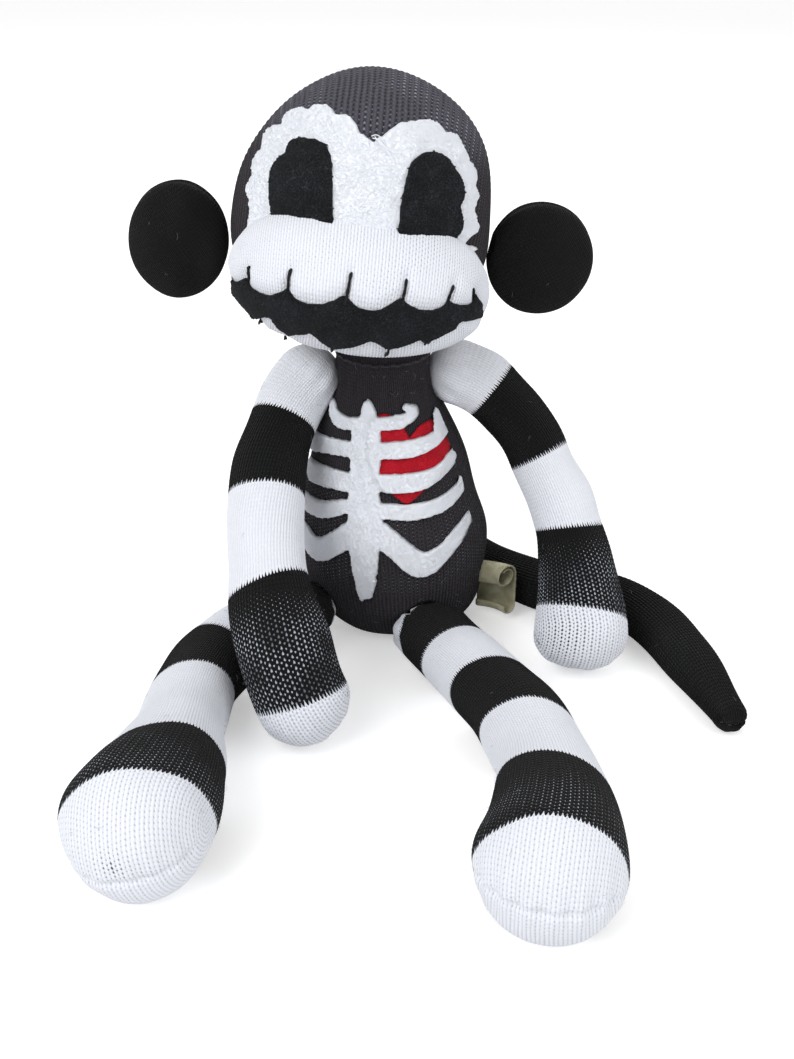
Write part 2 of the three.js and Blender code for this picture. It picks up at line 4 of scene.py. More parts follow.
import bpy
import numpy as np
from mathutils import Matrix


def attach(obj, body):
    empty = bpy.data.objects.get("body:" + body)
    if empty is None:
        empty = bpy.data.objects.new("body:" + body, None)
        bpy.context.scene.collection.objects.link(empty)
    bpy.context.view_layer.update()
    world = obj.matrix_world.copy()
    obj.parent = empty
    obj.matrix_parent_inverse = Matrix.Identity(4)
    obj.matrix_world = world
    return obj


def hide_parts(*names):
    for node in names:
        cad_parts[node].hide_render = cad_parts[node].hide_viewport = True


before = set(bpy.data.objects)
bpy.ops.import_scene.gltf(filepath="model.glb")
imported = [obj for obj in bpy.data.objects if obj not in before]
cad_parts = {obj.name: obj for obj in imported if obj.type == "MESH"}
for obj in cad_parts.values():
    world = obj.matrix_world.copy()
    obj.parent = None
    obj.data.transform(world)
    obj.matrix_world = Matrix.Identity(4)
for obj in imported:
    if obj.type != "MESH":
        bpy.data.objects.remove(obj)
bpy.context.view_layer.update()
mm = 0.001
print("stage: frame loaded,", len(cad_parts), "nodes")

# Shapes are in millimetres until meshFromFaces turns them into metres. The camera, the
# floor and the lamps are in metres.

cameraSetup = {
    "place": (0, -0.48, 0.3),
    "pitchDown": 29,
    "focalPixels": 1400,
    "frameHeight": 1059,
    "sensor": 36,
}


def addObject(name, data, place=(0, 0, 0), turn=(0, 0, 0)):
    thing = bpy.data.objects.new(name, data)
    thing.location, thing.rotation_euler = place, turn
    bpy.context.scene.collection.objects.link(thing)
    return thing


def makeCamera(setup):
    data = bpy.data.cameras.new("camera")
    data.sensor_width = setup["sensor"]
    data.lens = setup["focalPixels"] / setup["frameHeight"] * setup["sensor"]
    turn = (math.radians(90 - setup["pitchDown"]), 0, 0)
    bpy.context.scene.camera = addObject("camera", data, setup["place"], turn)


makeCamera(cameraSetup)


# Small tools for arrays


def unit(v):
    return v / np.linalg.norm(v, axis=-1, keepdims=True)


def smooth(x, start, end):  # 0 before start, 1 after end, an S between them
    t = np.clip((x - start) / (end - start), 0, 1)
    return t * t * (3 - 2 * t)


def lumps(points, size, seed, waves=9):
    # Sum of sine waves in random directions, about -1 to 1, repeating every few sizes
    rng = np.random.default_rng(seed)
    total = np.zeros(points.shape[:-1])
    for _ in range(waves):
        direction = rng.normal(size=points.shape[-1])
        direction *= rng.uniform(0.7, 1.5) * 2 * np.pi / size / np.linalg.norm(direction)
        total += np.sin(points @ direction + rng.uniform(0, 2 * np.pi))
    return total / math.sqrt(waves)


def throughPoints(points, count):
    # A smooth line through the points: each stretch is a cubic whose slope at a point
    # is half the way between the point's neighbours
    p = np.asarray(points, float)
    t = np.linspace(0, len(p) - 1, count)
    k = np.minimum(t.astype(int), len(p) - 2)
    w = (t - k)[:, None]
    around = np.vstack([p[:1], p, p[-1:]])
    a, b, c, d = around[k], around[k + 1], around[k + 2], around[k + 3]
    cubic = (3 * b - a - 3 * c + d) * w**3 + (2 * a - 5 * b + 4 * c - d) * w**2
    return (cubic + (c - a) * w + 2 * b) / 2


def closedLine(points, count):
    return throughPoints(points + points[:1], count)


def evenly(line, count):  # the same line with its points an even distance apart
    steps = np.linalg.norm(np.diff(line, axis=0), axis=1)
    along = np.concatenate([[0], np.cumsum(steps)])
    want = np.linspace(0, along[-1], count)
    return np.stack([np.interp(want, along, line[:, k]) for k in range(line.shape[1])], 1)


def lineLength(line):
    return float(np.linalg.norm(np.diff(line, axis=0), axis=1).sum())


def insideStrip(x, z, line):
    # Distance in from the border of a strip whose half width changes along its middle
    # line, which has points (x, z, half width)
    best = np.full(x.shape, -1e9)
    for (ax, az, aw), (bx, bz, bw) in zip(line[:-1], line[1:]):
        dx, dz = bx - ax, bz - az
        share = np.clip(((x - ax) * dx + (z - az) * dz) / (dx * dx + dz * dz + 1e-12), 0, 1)
        gap = np.hypot(x - ax - share * dx, z - az - share * dz)
        best = np.maximum(best, aw + (bw - aw) * share - gap)
    return best


def insideOutline(x, z, outline):  # distance to a closed outline, above 0 inside it
    closed = np.vstack([outline, outline[:1]])
    crossings = np.zeros(x.shape, int)
    for (ax, az), (bx, bz) in zip(closed[:-1], closed[1:]):
        if az == bz:
            continue
        spans = (z >= min(az, bz)) & (z < max(az, bz))
        crossings += spans & (x < ax + (z - az) / (bz - az) * (bx - ax))
    within = insideStrip(x, z, np.column_stack([closed, np.zeros(len(closed))]))
    return np.where(crossings % 2 == 1, -within, within)


def insideOf(outline):
    def inside(x, z):
        return insideOutline(x, z, outline)

    return inside


# Squarish ovals: a point's shares of the half sizes, each raised to the power, add up to 1


def onOval(directions, power):
    return directions / ((np.abs(directions) ** power).sum(-1) ** (1 / power))[..., None]


def halfSizes(wide, deep, tall):
    return np.stack([wide + 0 * tall, deep + 0 * tall, tall], -1)


def ovalNormal(shares, half, power):
    return unit(np.sign(shares) * np.abs(shares) ** (power - 1) / half)


def ovalFront(beside, level, half, power):
    # The front at sideways and upward shares: its depth's share is what they leave
    least = 0.004
    left = np.maximum(1 - np.abs(beside) ** power - np.abs(level) ** power, least)
    depth = left ** (1 / power)
    return depth, ovalNormal(np.stack([beside, -depth, level], -1), half, power)


# Meshes


def meshFromFaces(name, points, corners, sizes, cornerUv=None, values=None):
    # points in mm; corners is every face's vertices in a row, sizes is how many each has
    mesh = bpy.data.meshes.new(name)
    mesh.vertices.add(len(points))
    mesh.vertices.foreach_set("co", (points * mm).astype(np.float32).ravel())
    mesh.loops.add(len(corners))
    mesh.polygons.add(len(sizes))
    mesh.polygons.foreach_set("loop_start", np.concatenate([[0], np.cumsum(sizes)[:-1]]))
    mesh.polygons.foreach_set("vertices", corners)
    mesh.update(calc_edges=True)
    if cornerUv is not None:
        mesh.uv_layers.new(name="stitches").data.foreach_set(
            "uv", cornerUv.astype(np.float32).ravel()
        )
    for label, value in (values or {}).items():
        attribute = mesh.attributes.new(label, "FLOAT", "POINT")
        attribute.data.foreach_set("value", value.astype(np.float32).ravel())
    mesh.shade_smooth()
    return addObject(name, mesh)


def gridMesh(name, points, uv=None, values=None):
    # One or more grids of points, (rows, columns, 3) or (grids, rows, columns, 3). Points
    # that coincide become one, which closes rings, poles and folded ends. Faces are then
    # turned outwards by the sign of the volume.
    if points.ndim == 3:
        points = points[None]
    grids, rows, columns = points.shape[:3]
    g, r, c = np.meshgrid(
        np.arange(grids), np.arange(rows - 1), np.arange(columns - 1), indexing="ij"
    )
    corner = ((g * rows + r) * columns + c).ravel()
    quads = np.stack([corner, corner + 1, corner + columns + 1, corner + columns], 1)
    flat = points.reshape(-1, 3)
    key = np.round(flat * 1e4).astype(np.int64)
    _, first, joined = np.unique(key, axis=0, return_index=True, return_inverse=True)
    joined = joined.ravel()
    welded = joined[quads]
    same = welded == np.roll(welded, -1, axis=1)
    whole = quads[same.sum(1) == 0]
    thin = same.sum(1) == 1
    order = (same[thin].argmax(1)[:, None] + np.array([1, 2, 3])) % 4
    triangles = np.take_along_axis(quads[thin], order, 1)
    fan = np.concatenate([whole[:, [0, 1, 2]], whole[:, [0, 2, 3]], triangles])
    a, b, d = (flat[fan[:, k]] for k in range(3))
    if np.einsum("ij,ij->", a, np.cross(b, d)) < 0:
        whole, triangles = whole[:, ::-1], triangles[:, ::-1]
    corners = np.concatenate([whole.ravel(), triangles.ravel()])
    sizes = np.concatenate([np.full(len(whole), 4), np.full(len(triangles), 3)])
    cornerUv = None if uv is None else uv.reshape(-1, 2)[corners]
    picked = {k: v.ravel()[first] for k, v in (values or {}).items()}
    return meshFromFaces(name, flat[first], joined[corners], sizes, cornerUv, picked)


def tubesAlong(lines, radius, sides, twist=0.0):
    # Tubes round many lines at once, (tubes, steps, 3): a ring of even angles round each
    # point, square to the line, and one point at each end. Twist turns a wavy section
    # along the line, so that the tube looks plied.
    ahead = unit(np.gradient(lines, axis=1))
    helper = np.where(np.abs(ahead[:, :1, 2:]) > 0.8, [1.0, 0.0, 0.0], [0.0, 0.0, 1.0])
    side = unit(np.cross(ahead, np.broadcast_to(helper, ahead.shape)))
    up = np.cross(side, ahead)
    turn = np.linspace(0, 2 * np.pi, sides + 1)
    turn[-1] = 0
    steps = lines.shape[1]
    radius = np.broadcast_to(np.asarray(radius, float), lines.shape[:2])[..., None]
    ply = 2 * turn - twist * np.arange(steps)[None, :, None]  # two strands
    wave = 1 + 0.2 * (twist > 0) * np.cos(ply)
    ring = side[:, :, None] * np.cos(turn)[:, None] + up[:, :, None] * np.sin(turn)[:, None]
    tubes = lines[:, :, None] + ring * (radius * wave)[..., None]
    first = np.repeat(lines[:, :1, None], sides + 1, axis=2)
    last = np.repeat(lines[:, -1:, None], sides + 1, axis=2)
    return np.concatenate([first, tubes, last], axis=1)


def finishPiece(piece, body, material, replaced=()):
    piece.data.materials.append(material)
    if replaced:
        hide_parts(*replaced)
    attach(piece, body)


# Materials. A colour is written as it looks, 0 to 255, and turned into Blender's linear.


def ink(red, green, blue):
    def linear(value):
        value /= 255
        return value / 12.92 if value <= 0.04045 else ((value + 0.055) / 1.055) ** 2.4

    return (linear(red), linear(green), linear(blue), 1)


# Scales of the noise and the weave, in waves a metre, larger where it is finer

grains = {
    "knitDrift": 420, "knitFibre": 3400, "knitUneven": 900, "stripePatch": 75, "plainPatch": 60,
    "feltGrain": 1900, "feltCurl": 700, "feltPatch": 160, "thread": 4200, "weave": 900,
    "stain": 240, "tuft": 260,
}


class NodeDesk:
    # Places nodes in one tree and returns their first output

    def __init__(self, tree):
        self.tree = tree

    def put(self, socket, value):
        if isinstance(value, bpy.types.NodeSocket):
            self.tree.links.new(value, socket)
        elif value is not None:
            socket.default_value = value

    def math(self, operation, *values, clamp=False):
        node = self.tree.nodes.new("ShaderNodeMath")
        node.operation, node.use_clamp = operation, clamp
        for socket, value in zip(node.inputs, values):
            self.put(socket, value)
        return node.outputs[0]

    def plus(self, *values):
        return self.math("ADD", *values)

    def minus(self, *values, clamp=False):
        return self.math("SUBTRACT", *values, clamp=clamp)

    def times(self, *values):
        return self.math("MULTIPLY", *values)

    def timesPlus(self, *values, clamp=False):
        return self.math("MULTIPLY_ADD", *values, clamp=clamp)

    def ramp(self, value, low, high, out0=0.0, out1=1.0):
        node = self.tree.nodes.new("ShaderNodeMapRange")
        node.interpolation_type = "SMOOTHSTEP"
        for label, given in [
            ("Value", value), ("From Min", low), ("From Max", high),
            ("To Min", out0), ("To Max", out1),
        ]:
            self.put(node.inputs[label], given)
        return node.outputs[0]

    def mix(self, share, first, second):
        node = self.tree.nodes.new("ShaderNodeMix")
        node.data_type = "RGBA"
        self.put(node.inputs["Factor"], share)
        self.put(node.inputs[6], first)  # 6, 7 and output 2 are the colour sockets
        self.put(node.inputs[7], second)
        return node.outputs[2]

    def noise(self, place, scale, detail=2.0, rough=0.5):
        node = self.tree.nodes.new("ShaderNodeTexNoise")
        self.put(node.inputs["Vector"], place)
        self.put(node.inputs["Scale"], scale)
        self.put(node.inputs["Detail"], detail)
        self.put(node.inputs["Roughness"], rough)
        return node.outputs[0]

    def attribute(self, name):
        node = self.tree.nodes.new("ShaderNodeAttribute")
        node.attribute_name = name
        return node.outputs["Fac"]

    def place(self, output="Object"):
        return self.tree.nodes.new("ShaderNodeTexCoord").outputs[output]


def newGroup(name, inputs, outputs):  # an input without a value is a vector
    group = bpy.data.node_groups.new(name, "ShaderNodeTree")
    for label, value in inputs.items():
        kind = "NodeSocketVector" if value is None else "NodeSocketFloat"
        socket = group.interface.new_socket(label, in_out="INPUT", socket_type=kind)
        if value is not None:
            socket.default_value = value
    for label in outputs:
        group.interface.new_socket(label, in_out="OUTPUT", socket_type="NodeSocketFloat")
    start = group.nodes.new("NodeGroupInput")
    end = group.nodes.new("NodeGroupOutput")
    return group, NodeDesk(group), start.outputs, end.inputs


def knitGroup():
    # Plain knitting. Across a wale two legs stand side by side; along it each course is
    # one leaning loop, so the legs make a V. Where the cloth is stretched, holes open
    # between loops: at a wale's middle and, half a course on, at its borders.
    group, desk, given, out = newGroup(
        "knitStitches", {"Stitch": None, "Place": None, "Stretch": 0.0, "Wander": 0.12},
        ["Height", "Hole", "GrooveShade", "Spike", "Fibre"],
    )
    split = desk.tree.nodes.new("ShaderNodeSeparateXYZ")
    desk.put(split.inputs[0], given["Stitch"])
    drift = desk.minus(desk.noise(given["Place"], grains["knitDrift"], 1), 0.5)
    drift = desk.times(drift, given["Wander"])
    fibre = desk.noise(given["Place"], grains["knitFibre"], 3, 0.7)
    wale = desk.plus(split.outputs[0], drift)
    beside = desk.math("FRACT", wale)
    beside = desk.math("ABSOLUTE", desk.timesPlus(beside, 2.0, -1.0))
    across = desk.math("SINE", desk.times(beside, math.pi))
    course = desk.plus(split.outputs[1], desk.times(drift, 1.4))
    lean = desk.timesPlus(beside, 0.5, course)
    lobe = desk.math("ABSOLUTE", desk.math("SINE", desk.times(lean, math.pi)))
    ridge = desk.math("POWER", desk.math("MAXIMUM", across, 0.0), 0.7)
    high = desk.times(ridge, desk.timesPlus(lobe, 0.55, 0.45))
    high = desk.plus(high, desk.times(fibre, 0.25))
    near = desk.plus(desk.math("POWER", across, 2.0), desk.math("POWER", lobe, 2.0))
    near = desk.math("SQRT", near)
    reach = desk.timesPlus(beside, 0.35, 0.6)
    reach = desk.times(reach, given["Stretch"])
    uneven = desk.timesPlus(desk.noise(given["Place"], grains["knitUneven"], 1), 0.5, 0.75)
    reach = desk.times(reach, uneven)
    hole = desk.ramp(near, desk.times(reach, 0.7), desk.plus(reach, 0.05), 1, 0)
    hole = desk.times(hole, desk.ramp(given["Stretch"], 0.05, 0.35))
    desk.put(out["Height"], desk.minus(high, desk.times(hole, 0.6)))
    desk.put(out["Hole"], hole)
    # This output is painted shade: 1 in the grooves between the loops, where it darkens the yarn's
    # colour
    desk.put(out["GrooveShade"], desk.minus(1.0, ridge, clamp=True))
    desk.put(out["Spike"], desk.timesPlus(beside, 0.35, across))
    desk.put(out["Fibre"], fibre)
    return group


def feltGroup():
    # Pressed fibres: fine noise at two sizes, and long noise that lies in curls
    group, desk, given, out = newGroup(
        "feltFibres", {"Place": None, "Size": 1.0}, ["Height", "Tint"],
    )
    grain = desk.noise(given["Place"], desk.times(given["Size"], grains["feltGrain"]), 4, 0.75)
    curl = desk.tree.nodes.new("ShaderNodeTexNoise")
    desk.put(curl.inputs["Vector"], given["Place"])
    desk.put(curl.inputs["Scale"], desk.times(given["Size"], grains["feltCurl"]))
    curl.inputs["Distortion"].default_value = 2.5
    curl.inputs["Detail"].default_value = 3
    hair = desk.math("ABSOLUTE", desk.minus(curl.outputs[0], 0.5))
    hair = desk.ramp(hair, 0.0, 0.05, 1, 0)
    patch = desk.noise(given["Place"], desk.times(given["Size"], grains["feltPatch"]), 2)
    high = desk.timesPlus(hair, 0.5, grain)
    desk.put(out["Height"], high)
    tint = desk.timesPlus(hair, 0.35, desk.times(grain, 0.5))
    desk.put(out["Tint"], desk.timesPlus(patch, 0.4, tint, clamp=True))
    return group


knitStitches = knitGroup()
feltFibres = feltGroup()


def newMaterial(name, rough, sheen=0.0, gloss=0.15):
    material = bpy.data.materials.new(name)
    material.use_nodes = True
    desk = NodeDesk(material.node_tree)
    shader = material.node_tree.nodes["Principled BSDF"].inputs
    shader["Roughness"].default_value = rough
    shader["Specular IOR Level"].default_value = gloss
    shader["Sheen Weight"].default_value = sheen
    return material, desk, shader


def useGroup(desk, group, **values):
    node = desk.tree.nodes.new("ShaderNodeGroup")
    node.node_tree = group
    for label, value in values.items():
        desk.put(node.inputs[label], value)
    return node.outputs


def bumpFrom(desk, shader, height, depth, strength=1.0):
    bump = desk.tree.nodes.new("ShaderNodeBump")
    bump.inputs["Distance"].default_value = depth
    desk.put(bump.inputs["Strength"], strength)
    desk.put(bump.inputs["Height"], height)
    desk.put(shader["Normal"], bump.outputs[0])


knitLooks = {
    "white": ink(230, 232, 238),
    # The colours named for grooves are painted shade: the yarn darkened in the grooves between loops
    "whiteGrooveShade": ink(208, 212, 224),
    "black": ink(15, 16, 17),
    "blackGrooveShade": ink(7, 7, 8),
    "blackFluff": ink(58, 62, 66),
    "charcoal": ink(52, 49, 53),
    "charcoalGrooveShade": ink(22, 20, 23),
    "charcoalPaleAndLit": ink(82, 81, 90),
    "stuffingSeen": ink(196, 204, 216),
    "shadowSeen": ink(158, 162, 176),
    # The next colour is painted shade, seen through the holes in white knit
    "whiteHoleShade": ink(182, 187, 200),
    "darkSeen": ink(18, 20, 26),
    "bumpDepth": 0.0007,
}


def newKnit(name, rough):
    material, desk, shader = newMaterial(name, rough, 0.03)
    knit = useGroup(
        desk, knitStitches, Stitch=desk.place("UV"), Place=desk.place(),
        Stretch=desk.attribute("stretch"),
    )
    return material, desk, shader, knit


def stripedKnit(name, looks):
    material, desk, shader, knit = newKnit(name, 0.92)
    band = desk.minus(desk.attribute("band"), desk.times(knit["Spike"], 0.2))
    # Bands alternate: an even count of boundaries passed is white, an odd one is black
    dark = desk.math("PINGPONG", desk.math("FLOOR", desk.plus(band, 0.5)), 1.0)
    # Painted shade: both yarns are darkened in the grooves between the loops
    groove = desk.times(knit["GrooveShade"], 0.8)
    white = desk.mix(groove, looks["white"], looks["whiteGrooveShade"])
    black = desk.mix(knit["GrooveShade"], looks["black"], looks["blackGrooveShade"])
    black = desk.mix(desk.ramp(knit["Fibre"], 0.6, 0.85, 0, 0.3), black, looks["blackFluff"])
    patch = desk.ramp(desk.noise(desk.place(), grains["stripePatch"], 2), 0.36, 0.62, 0.25, 1.0)
    seenDark = desk.mix(patch, looks["black"], looks["stuffingSeen"])
    # Holes in the white bands show a painted shade grey, and a dark colour where the bare marks are
    seenWhite = desk.mix(desk.attribute("bare"), looks["whiteHoleShade"], looks["darkSeen"])
    yarn = desk.mix(dark, white, black)
    seen = desk.mix(dark, seenWhite, seenDark)
    desk.put(shader["Base Color"], desk.mix(knit["Hole"], yarn, seen))
    firm = desk.timesPlus(dark, 0.55, 0.45)  # white loops blur into each other
    bumpFrom(desk, shader, knit["Height"], looks["bumpDepth"], firm)
    return material


def plainKnit(name, colour, groove, seen, looks, lift=None, thin=None, firm=1.0):
    material, desk, shader, knit = newKnit(name, 0.94)
    if thin:  # stretched yarn looks paler; on the crown this also paints light from above
        colour = desk.mix(desk.ramp(desk.attribute("stretch"), 0.5, 0.95), colour, thin)
    # Painted shade: groove is the yarn's colour darkened for the grooves between the loops
    yarn = desk.mix(knit["GrooveShade"], colour, groove)
    if lift:
        yarn = desk.mix(desk.ramp(knit["Fibre"], 0.5, 0.82, 0, 0.4), yarn, lift)
    # The holes show the painted groove shade in patches, and the seen colour elsewhere
    patch = desk.ramp(desk.noise(desk.place(), grains["plainPatch"], 2), 0.35, 0.65, 0.2, 1.0)
    below = desk.mix(patch, groove, seen)
    desk.put(shader["Base Color"], desk.mix(knit["Hole"], yarn, below))
    bumpFrom(desk, shader, knit["Height"], looks["bumpDepth"], firm)
    return material


def feltMaterial(name, colour, pale, deep, size=1.0, depth=0.0005):
    material, desk, shader = newMaterial(name, 0.97, 0.03)
    felt = useGroup(desk, feltFibres, Place=desk.place(), Size=size)
    tone = desk.mix(desk.ramp(felt["Tint"], 0.25, 0.6), deep, colour)
    tone = desk.mix(desk.ramp(felt["Tint"], 0.6, 0.95), tone, pale)
    desk.put(shader["Base Color"], tone)
    bumpFrom(desk, shader, felt["Height"], depth)
    return material


def threadMaterial(name, colour, pale):
    material, desk, shader = newMaterial(name, 0.75, 0.05)
    fibre = desk.noise(desk.place(), grains["thread"], 2, 0.6)
    desk.put(shader["Base Color"], desk.mix(desk.ramp(fibre, 0.45, 0.75), colour, pale))
    bumpFrom(desk, shader, fibre, 0.0002)
    return material


def ribbonMaterial(name):
    material, desk, shader = newMaterial(name, 0.6)
    wave = desk.tree.nodes.new("ShaderNodeTexWave")
    wave.bands_direction = "Z"
    wave.inputs["Scale"].default_value = grains["weave"]
    desk.put(wave.inputs["Vector"], desk.place())
    stain = desk.ramp(desk.noise(desk.place(), grains["stain"], 3), 0.3, 0.7)
    tone = desk.mix(stain, ink(176, 172, 140), ink(206, 202, 176))
    tone = desk.mix(desk.times(wave.outputs[1], 0.2), tone, ink(140, 136, 106))
    desk.put(shader["Base Color"], tone)
    bumpFrom(desk, shader, wave.outputs[1], 0.00015)
    return material


def stuffingMaterial(name):
    material, desk, shader = newMaterial(name, 1.0, 0.3)
    tuft = desk.noise(desk.place(), grains["tuft"], 5, 0.7)
    tone = desk.mix(desk.ramp(tuft, 0.3, 0.7), ink(214, 212, 204), ink(246, 245, 240))
    desk.put(shader["Base Color"], tone)
    bumpFrom(desk, shader, tuft, 0.002)
    return material


stripes = stripedKnit("stripedKnit", knitLooks)
charcoal = plainKnit(
    "charcoalKnit", knitLooks["charcoal"], knitLooks["charcoalGrooveShade"],
    ink(152, 154, 168), knitLooks, lift=ink(98, 93, 101), thin=knitLooks["charcoalPaleAndLit"],
)
whiteKnit = plainKnit(
    "whiteKnit", knitLooks["white"], knitLooks["whiteGrooveShade"], knitLooks["shadowSeen"],
    knitLooks, firm=0.5,
)
blackKnit = plainKnit(
    "blackKnit", knitLooks["black"], knitLooks["blackGrooveShade"], ink(40, 43, 48), knitLooks,
    lift=ink(56, 58, 62),
)
whiteFelt = feltMaterial(
    "whiteFelt", ink(240, 243, 250), ink(246, 248, 253), ink(230, 235, 244), depth=0.00024,
)
blackFelt = feltMaterial("blackFelt", ink(21, 23, 26), ink(64, 70, 78), ink(8, 8, 10), 0.8)
redFelt = feltMaterial("redFelt", ink(208, 20, 42), ink(232, 60, 72), ink(166, 10, 28))
blackThread = threadMaterial("blackThread", ink(14, 14, 16), ink(52, 54, 58))
charcoalThread = threadMaterial("charcoalThread", ink(40, 36, 42), ink(84, 80, 88))
whiteThread = threadMaterial("whiteThread", ink(232, 234, 240), ink(250, 250, 252))
lintFibre = threadMaterial("lintFibre", ink(112, 114, 120), ink(176, 178, 184))
ribbonCloth = ribbonMaterial("ribbonCloth")
stuffingFibre = stuffingMaterial("stuffingFibre")
print("stage: materials ready")


# Knitting as real relief: the same formula as the knit group's height


def knitRelief(wale, course):
    beside = np.abs(2 * (wale % 1) - 1)
    across = np.maximum(np.sin(np.pi * beside), 0) ** 0.7
    lobe = np.abs(np.sin(np.pi * (course + 0.5 * beside)))
    return across * (0.45 + 0.55 * lobe)


# Body and head as shapes that other pieces rest on

body = {
    "outline": [
        (22, -0.5), (31, 7), (36.4, 31), (33.2, 53), (26.2, 77), (19.4, 95), (17.5, 106),
    ],
    "neckRadius": 17.5,
    "neckHeight": 106,
    "lean": (-5, -2),
    "chestTurn": -18,
    "wales": 76,
    "course": 1.5,
    "relief": 0.2,
    "lumps": 0.5,
    "lumpSize": 34,
    "lumpSeed": 11,
    "floorGap": 0.15,
    "seatEdge": 1.5,
    "pleats": {"count": 19, "height": 101, "spread": 7, "depth": 0.45},
    "open": 0.5,
    "openFrom": (18, 34),
    "openTo": (58, 84),
    "jointGap": 0.45,
    "stuffingInset": 1.6,
}
neckPivot = np.array([*body["lean"], body["neckHeight"]], float)
bodyLine = throughPoints(body["outline"], 600)

head = {
    "centre": (-12, -6, 164.5),
    "tilt": 6,
    "halfWidth": 44.8,
    "halfDepth": 45,
    "waist": -6,
    "up": 50.9,
    "down": 42.5,
    "squareness": 2.02,
    "crownLean": 2.2,
    "wales": 36,
    "courses": 138,
    "relief": 0.25,
    "lumps": 0.5,
    "lumpSize": 40,
    "lumpSeed": 21,
    "open": 0.25,
    "crownOpen": 0.6,
    "crown": (4, 34),
}


def bodyRadius(height):
    return np.interp(height, bodyLine[:, 1], bodyLine[:, 0])


def bodyLean(height):
    share = np.minimum(1, height / body["neckHeight"])
    return body["lean"][0] * share, body["lean"][1] * share


def crownLean(z):  # the crown leans a little to the toy's left
    return head["crownLean"] * smooth(z, -14, 28)


def headToWorld(p):
    turn = math.radians(head["tilt"])
    x = p[..., 0] * math.cos(turn) + p[..., 2] * math.sin(turn)
    z = -p[..., 0] * math.sin(turn) + p[..., 2] * math.cos(turn)
    return np.stack([x, p[..., 1], z], -1) + np.array(head["centre"], float)


def worldToHead(p):
    turn = math.radians(head["tilt"])
    q = p - np.array(head["centre"], float)
    x = q[..., 0] * math.cos(turn) - q[..., 2] * math.sin(turn)
    z = q[..., 0] * math.sin(turn) + q[..., 2] * math.cos(turn)
    return np.stack([x, q[..., 1], z], -1)


def pushOutOfBall(points, centre, radius, direction):
    # A point inside the ball slides along direction until it reaches the ball's surface
    gap = points - centre
    along = (direction * gap).sum(-1)
    depth = (gap * gap).sum(-1) - radius**2
    slide = np.where(depth < 0, -along + np.sqrt(np.maximum(along**2 - depth, 0)), 0)
    return points + direction * slide[..., None]


sewnTube = {  # what a limb has unless its own entry says otherwise
    "up": (0, 0, 1), "wales": 54, "course": 1.65, "perWale": 4, "relief": 0.15, "puckers": 0.3,
    "flat": (1, 1, 1), "tip": 1, "open": 1, "seamDrop": 0, "bare": [],
}
armTube = {
    **sewnTube, "axis": (-1, 0, 0), "up": (0, -1, 0), "wales": 38, "perWale": 6,
    "relief": 0.18, "puckers": 0.25,
}
limbs = {
    "right_arm": {
        **armTube,
        "pivot": (-32.6, -1, 99),
        "path": [(-21, -11, -22), (-16.4, -73.5, -47.8), (0.7, -89, -81.6)],
        "radius": [(0, 12), (0.4, 13.6), (0.6, 13.4), (0.86, 16.5), (1, 16.3)],
        "limits": (0, 45),
        "bands": [(18.3, 0, 0), (50, 0, 0), (85, 0, -2.5), (124.5, 0, 1.5)],
        "stretch": (86, 106), "tip": 0.92,
    },
    "left_arm": {
        **armTube,
        "pivot": (22.6, -1, 101),
        "path": [(30, -2, -11), (47, -23, -57), (45, -47, -83.5)],
        "radius": [(0, 12), (0.4, 11), (0.62, 12.2), (1, 17)],
        "limits": (-3, 60),
        "bands": [(12.1, 0, 0), (43, 0, 0), (71.5, 0, 2), (103.5, 0, 3)],
        "stretch": (72, 92), "bare": [(119, -0.6, 13)], "tip": 0.85,
    },
    "right_leg": {
        **sewnTube,
        "pivot": (-35.8, -23.4, 12.6),
        "path": [(-52, -49.9, 1.8), (-27.5, -70.8, 2.2), (-41.7, -136, 9.7)],
        "radius": [(0, 12.5), (0.2, 13.8), (0.58, 14.4), (1, 22.8)],
        "axis": (0, 0, -1), "limits": (0, 20), "up": (-0.17, 0, 0.985),
        "bands": [
            (-7, -3, 0), (17.2, 0, 0), (44.5, 0, 0), (72.2, 0, -4), (119.2, 0, -6), (147.7, 5, -8),
        ],
        "stretch": (119.7, 141.7), "bare": [(184, 0.05, 4.5), (189, 0.75, 8)],
        "flat": (1.12, 0.8, 0.85), "tip": 0.93, "open": 0.68, "seamDrop": 18,
    },
    "left_leg": {
        **sewnTube,
        "pivot": (12.6, -39.2, 12.6),
        "path": [(14, -34, 1), (46, -74, 6), (31, -139, 9.7)],
        "radius": [(0, 12.5), (0.2, 13.8), (0.6, 15.2), (1, 22.2)],
        "axis": (0.976296, 0.21644, 0), "limits": (-45, 0),
        "bands": [
            (-6, -5, -10), (19.6, 0, 0), (45.6, 0, 4), (77, 0, 6), (112, 0, 6), (148.5, 1, -3),
        ],
        "stretch": (114, 140), "puckers": 0.7,
        "flat": (1.14, 0.78, 0.85), "tip": 0.9, "open": 0.62,
    },
    "tail": {
        **sewnTube,
        "pivot": (27.5, 27.5, 10),
        "path": [(45.9, -64.8, -1.3), (66.4, 0.6, 1.3), (88.1, -112.5, -3.6)],
        "radius": [(0, 9), (0.4, 9.6), (0.75, 9.6), (1, 6)],
        "axis": (0, 0, 1), "limits": (0, 40),
        "wales": 26, "course": 1.7, "perWale": 8, "relief": 0.34,
        "bands": [], "stretch": (1e4, 2e4),
    },
}


limbShape = {
    "lumps": 0.45,
    "lumpSize": 26,
    "swingGap": 0.4,
    "rootBlend": (6, 34),
    "seam": {"depth": 0.9, "width": 1.3, "walesPerFold": 3, "foldLength": 5},
    "rootFolds": {"count": 11, "depth": 0.35, "length": 6},
    "bandBlend": 5,
}


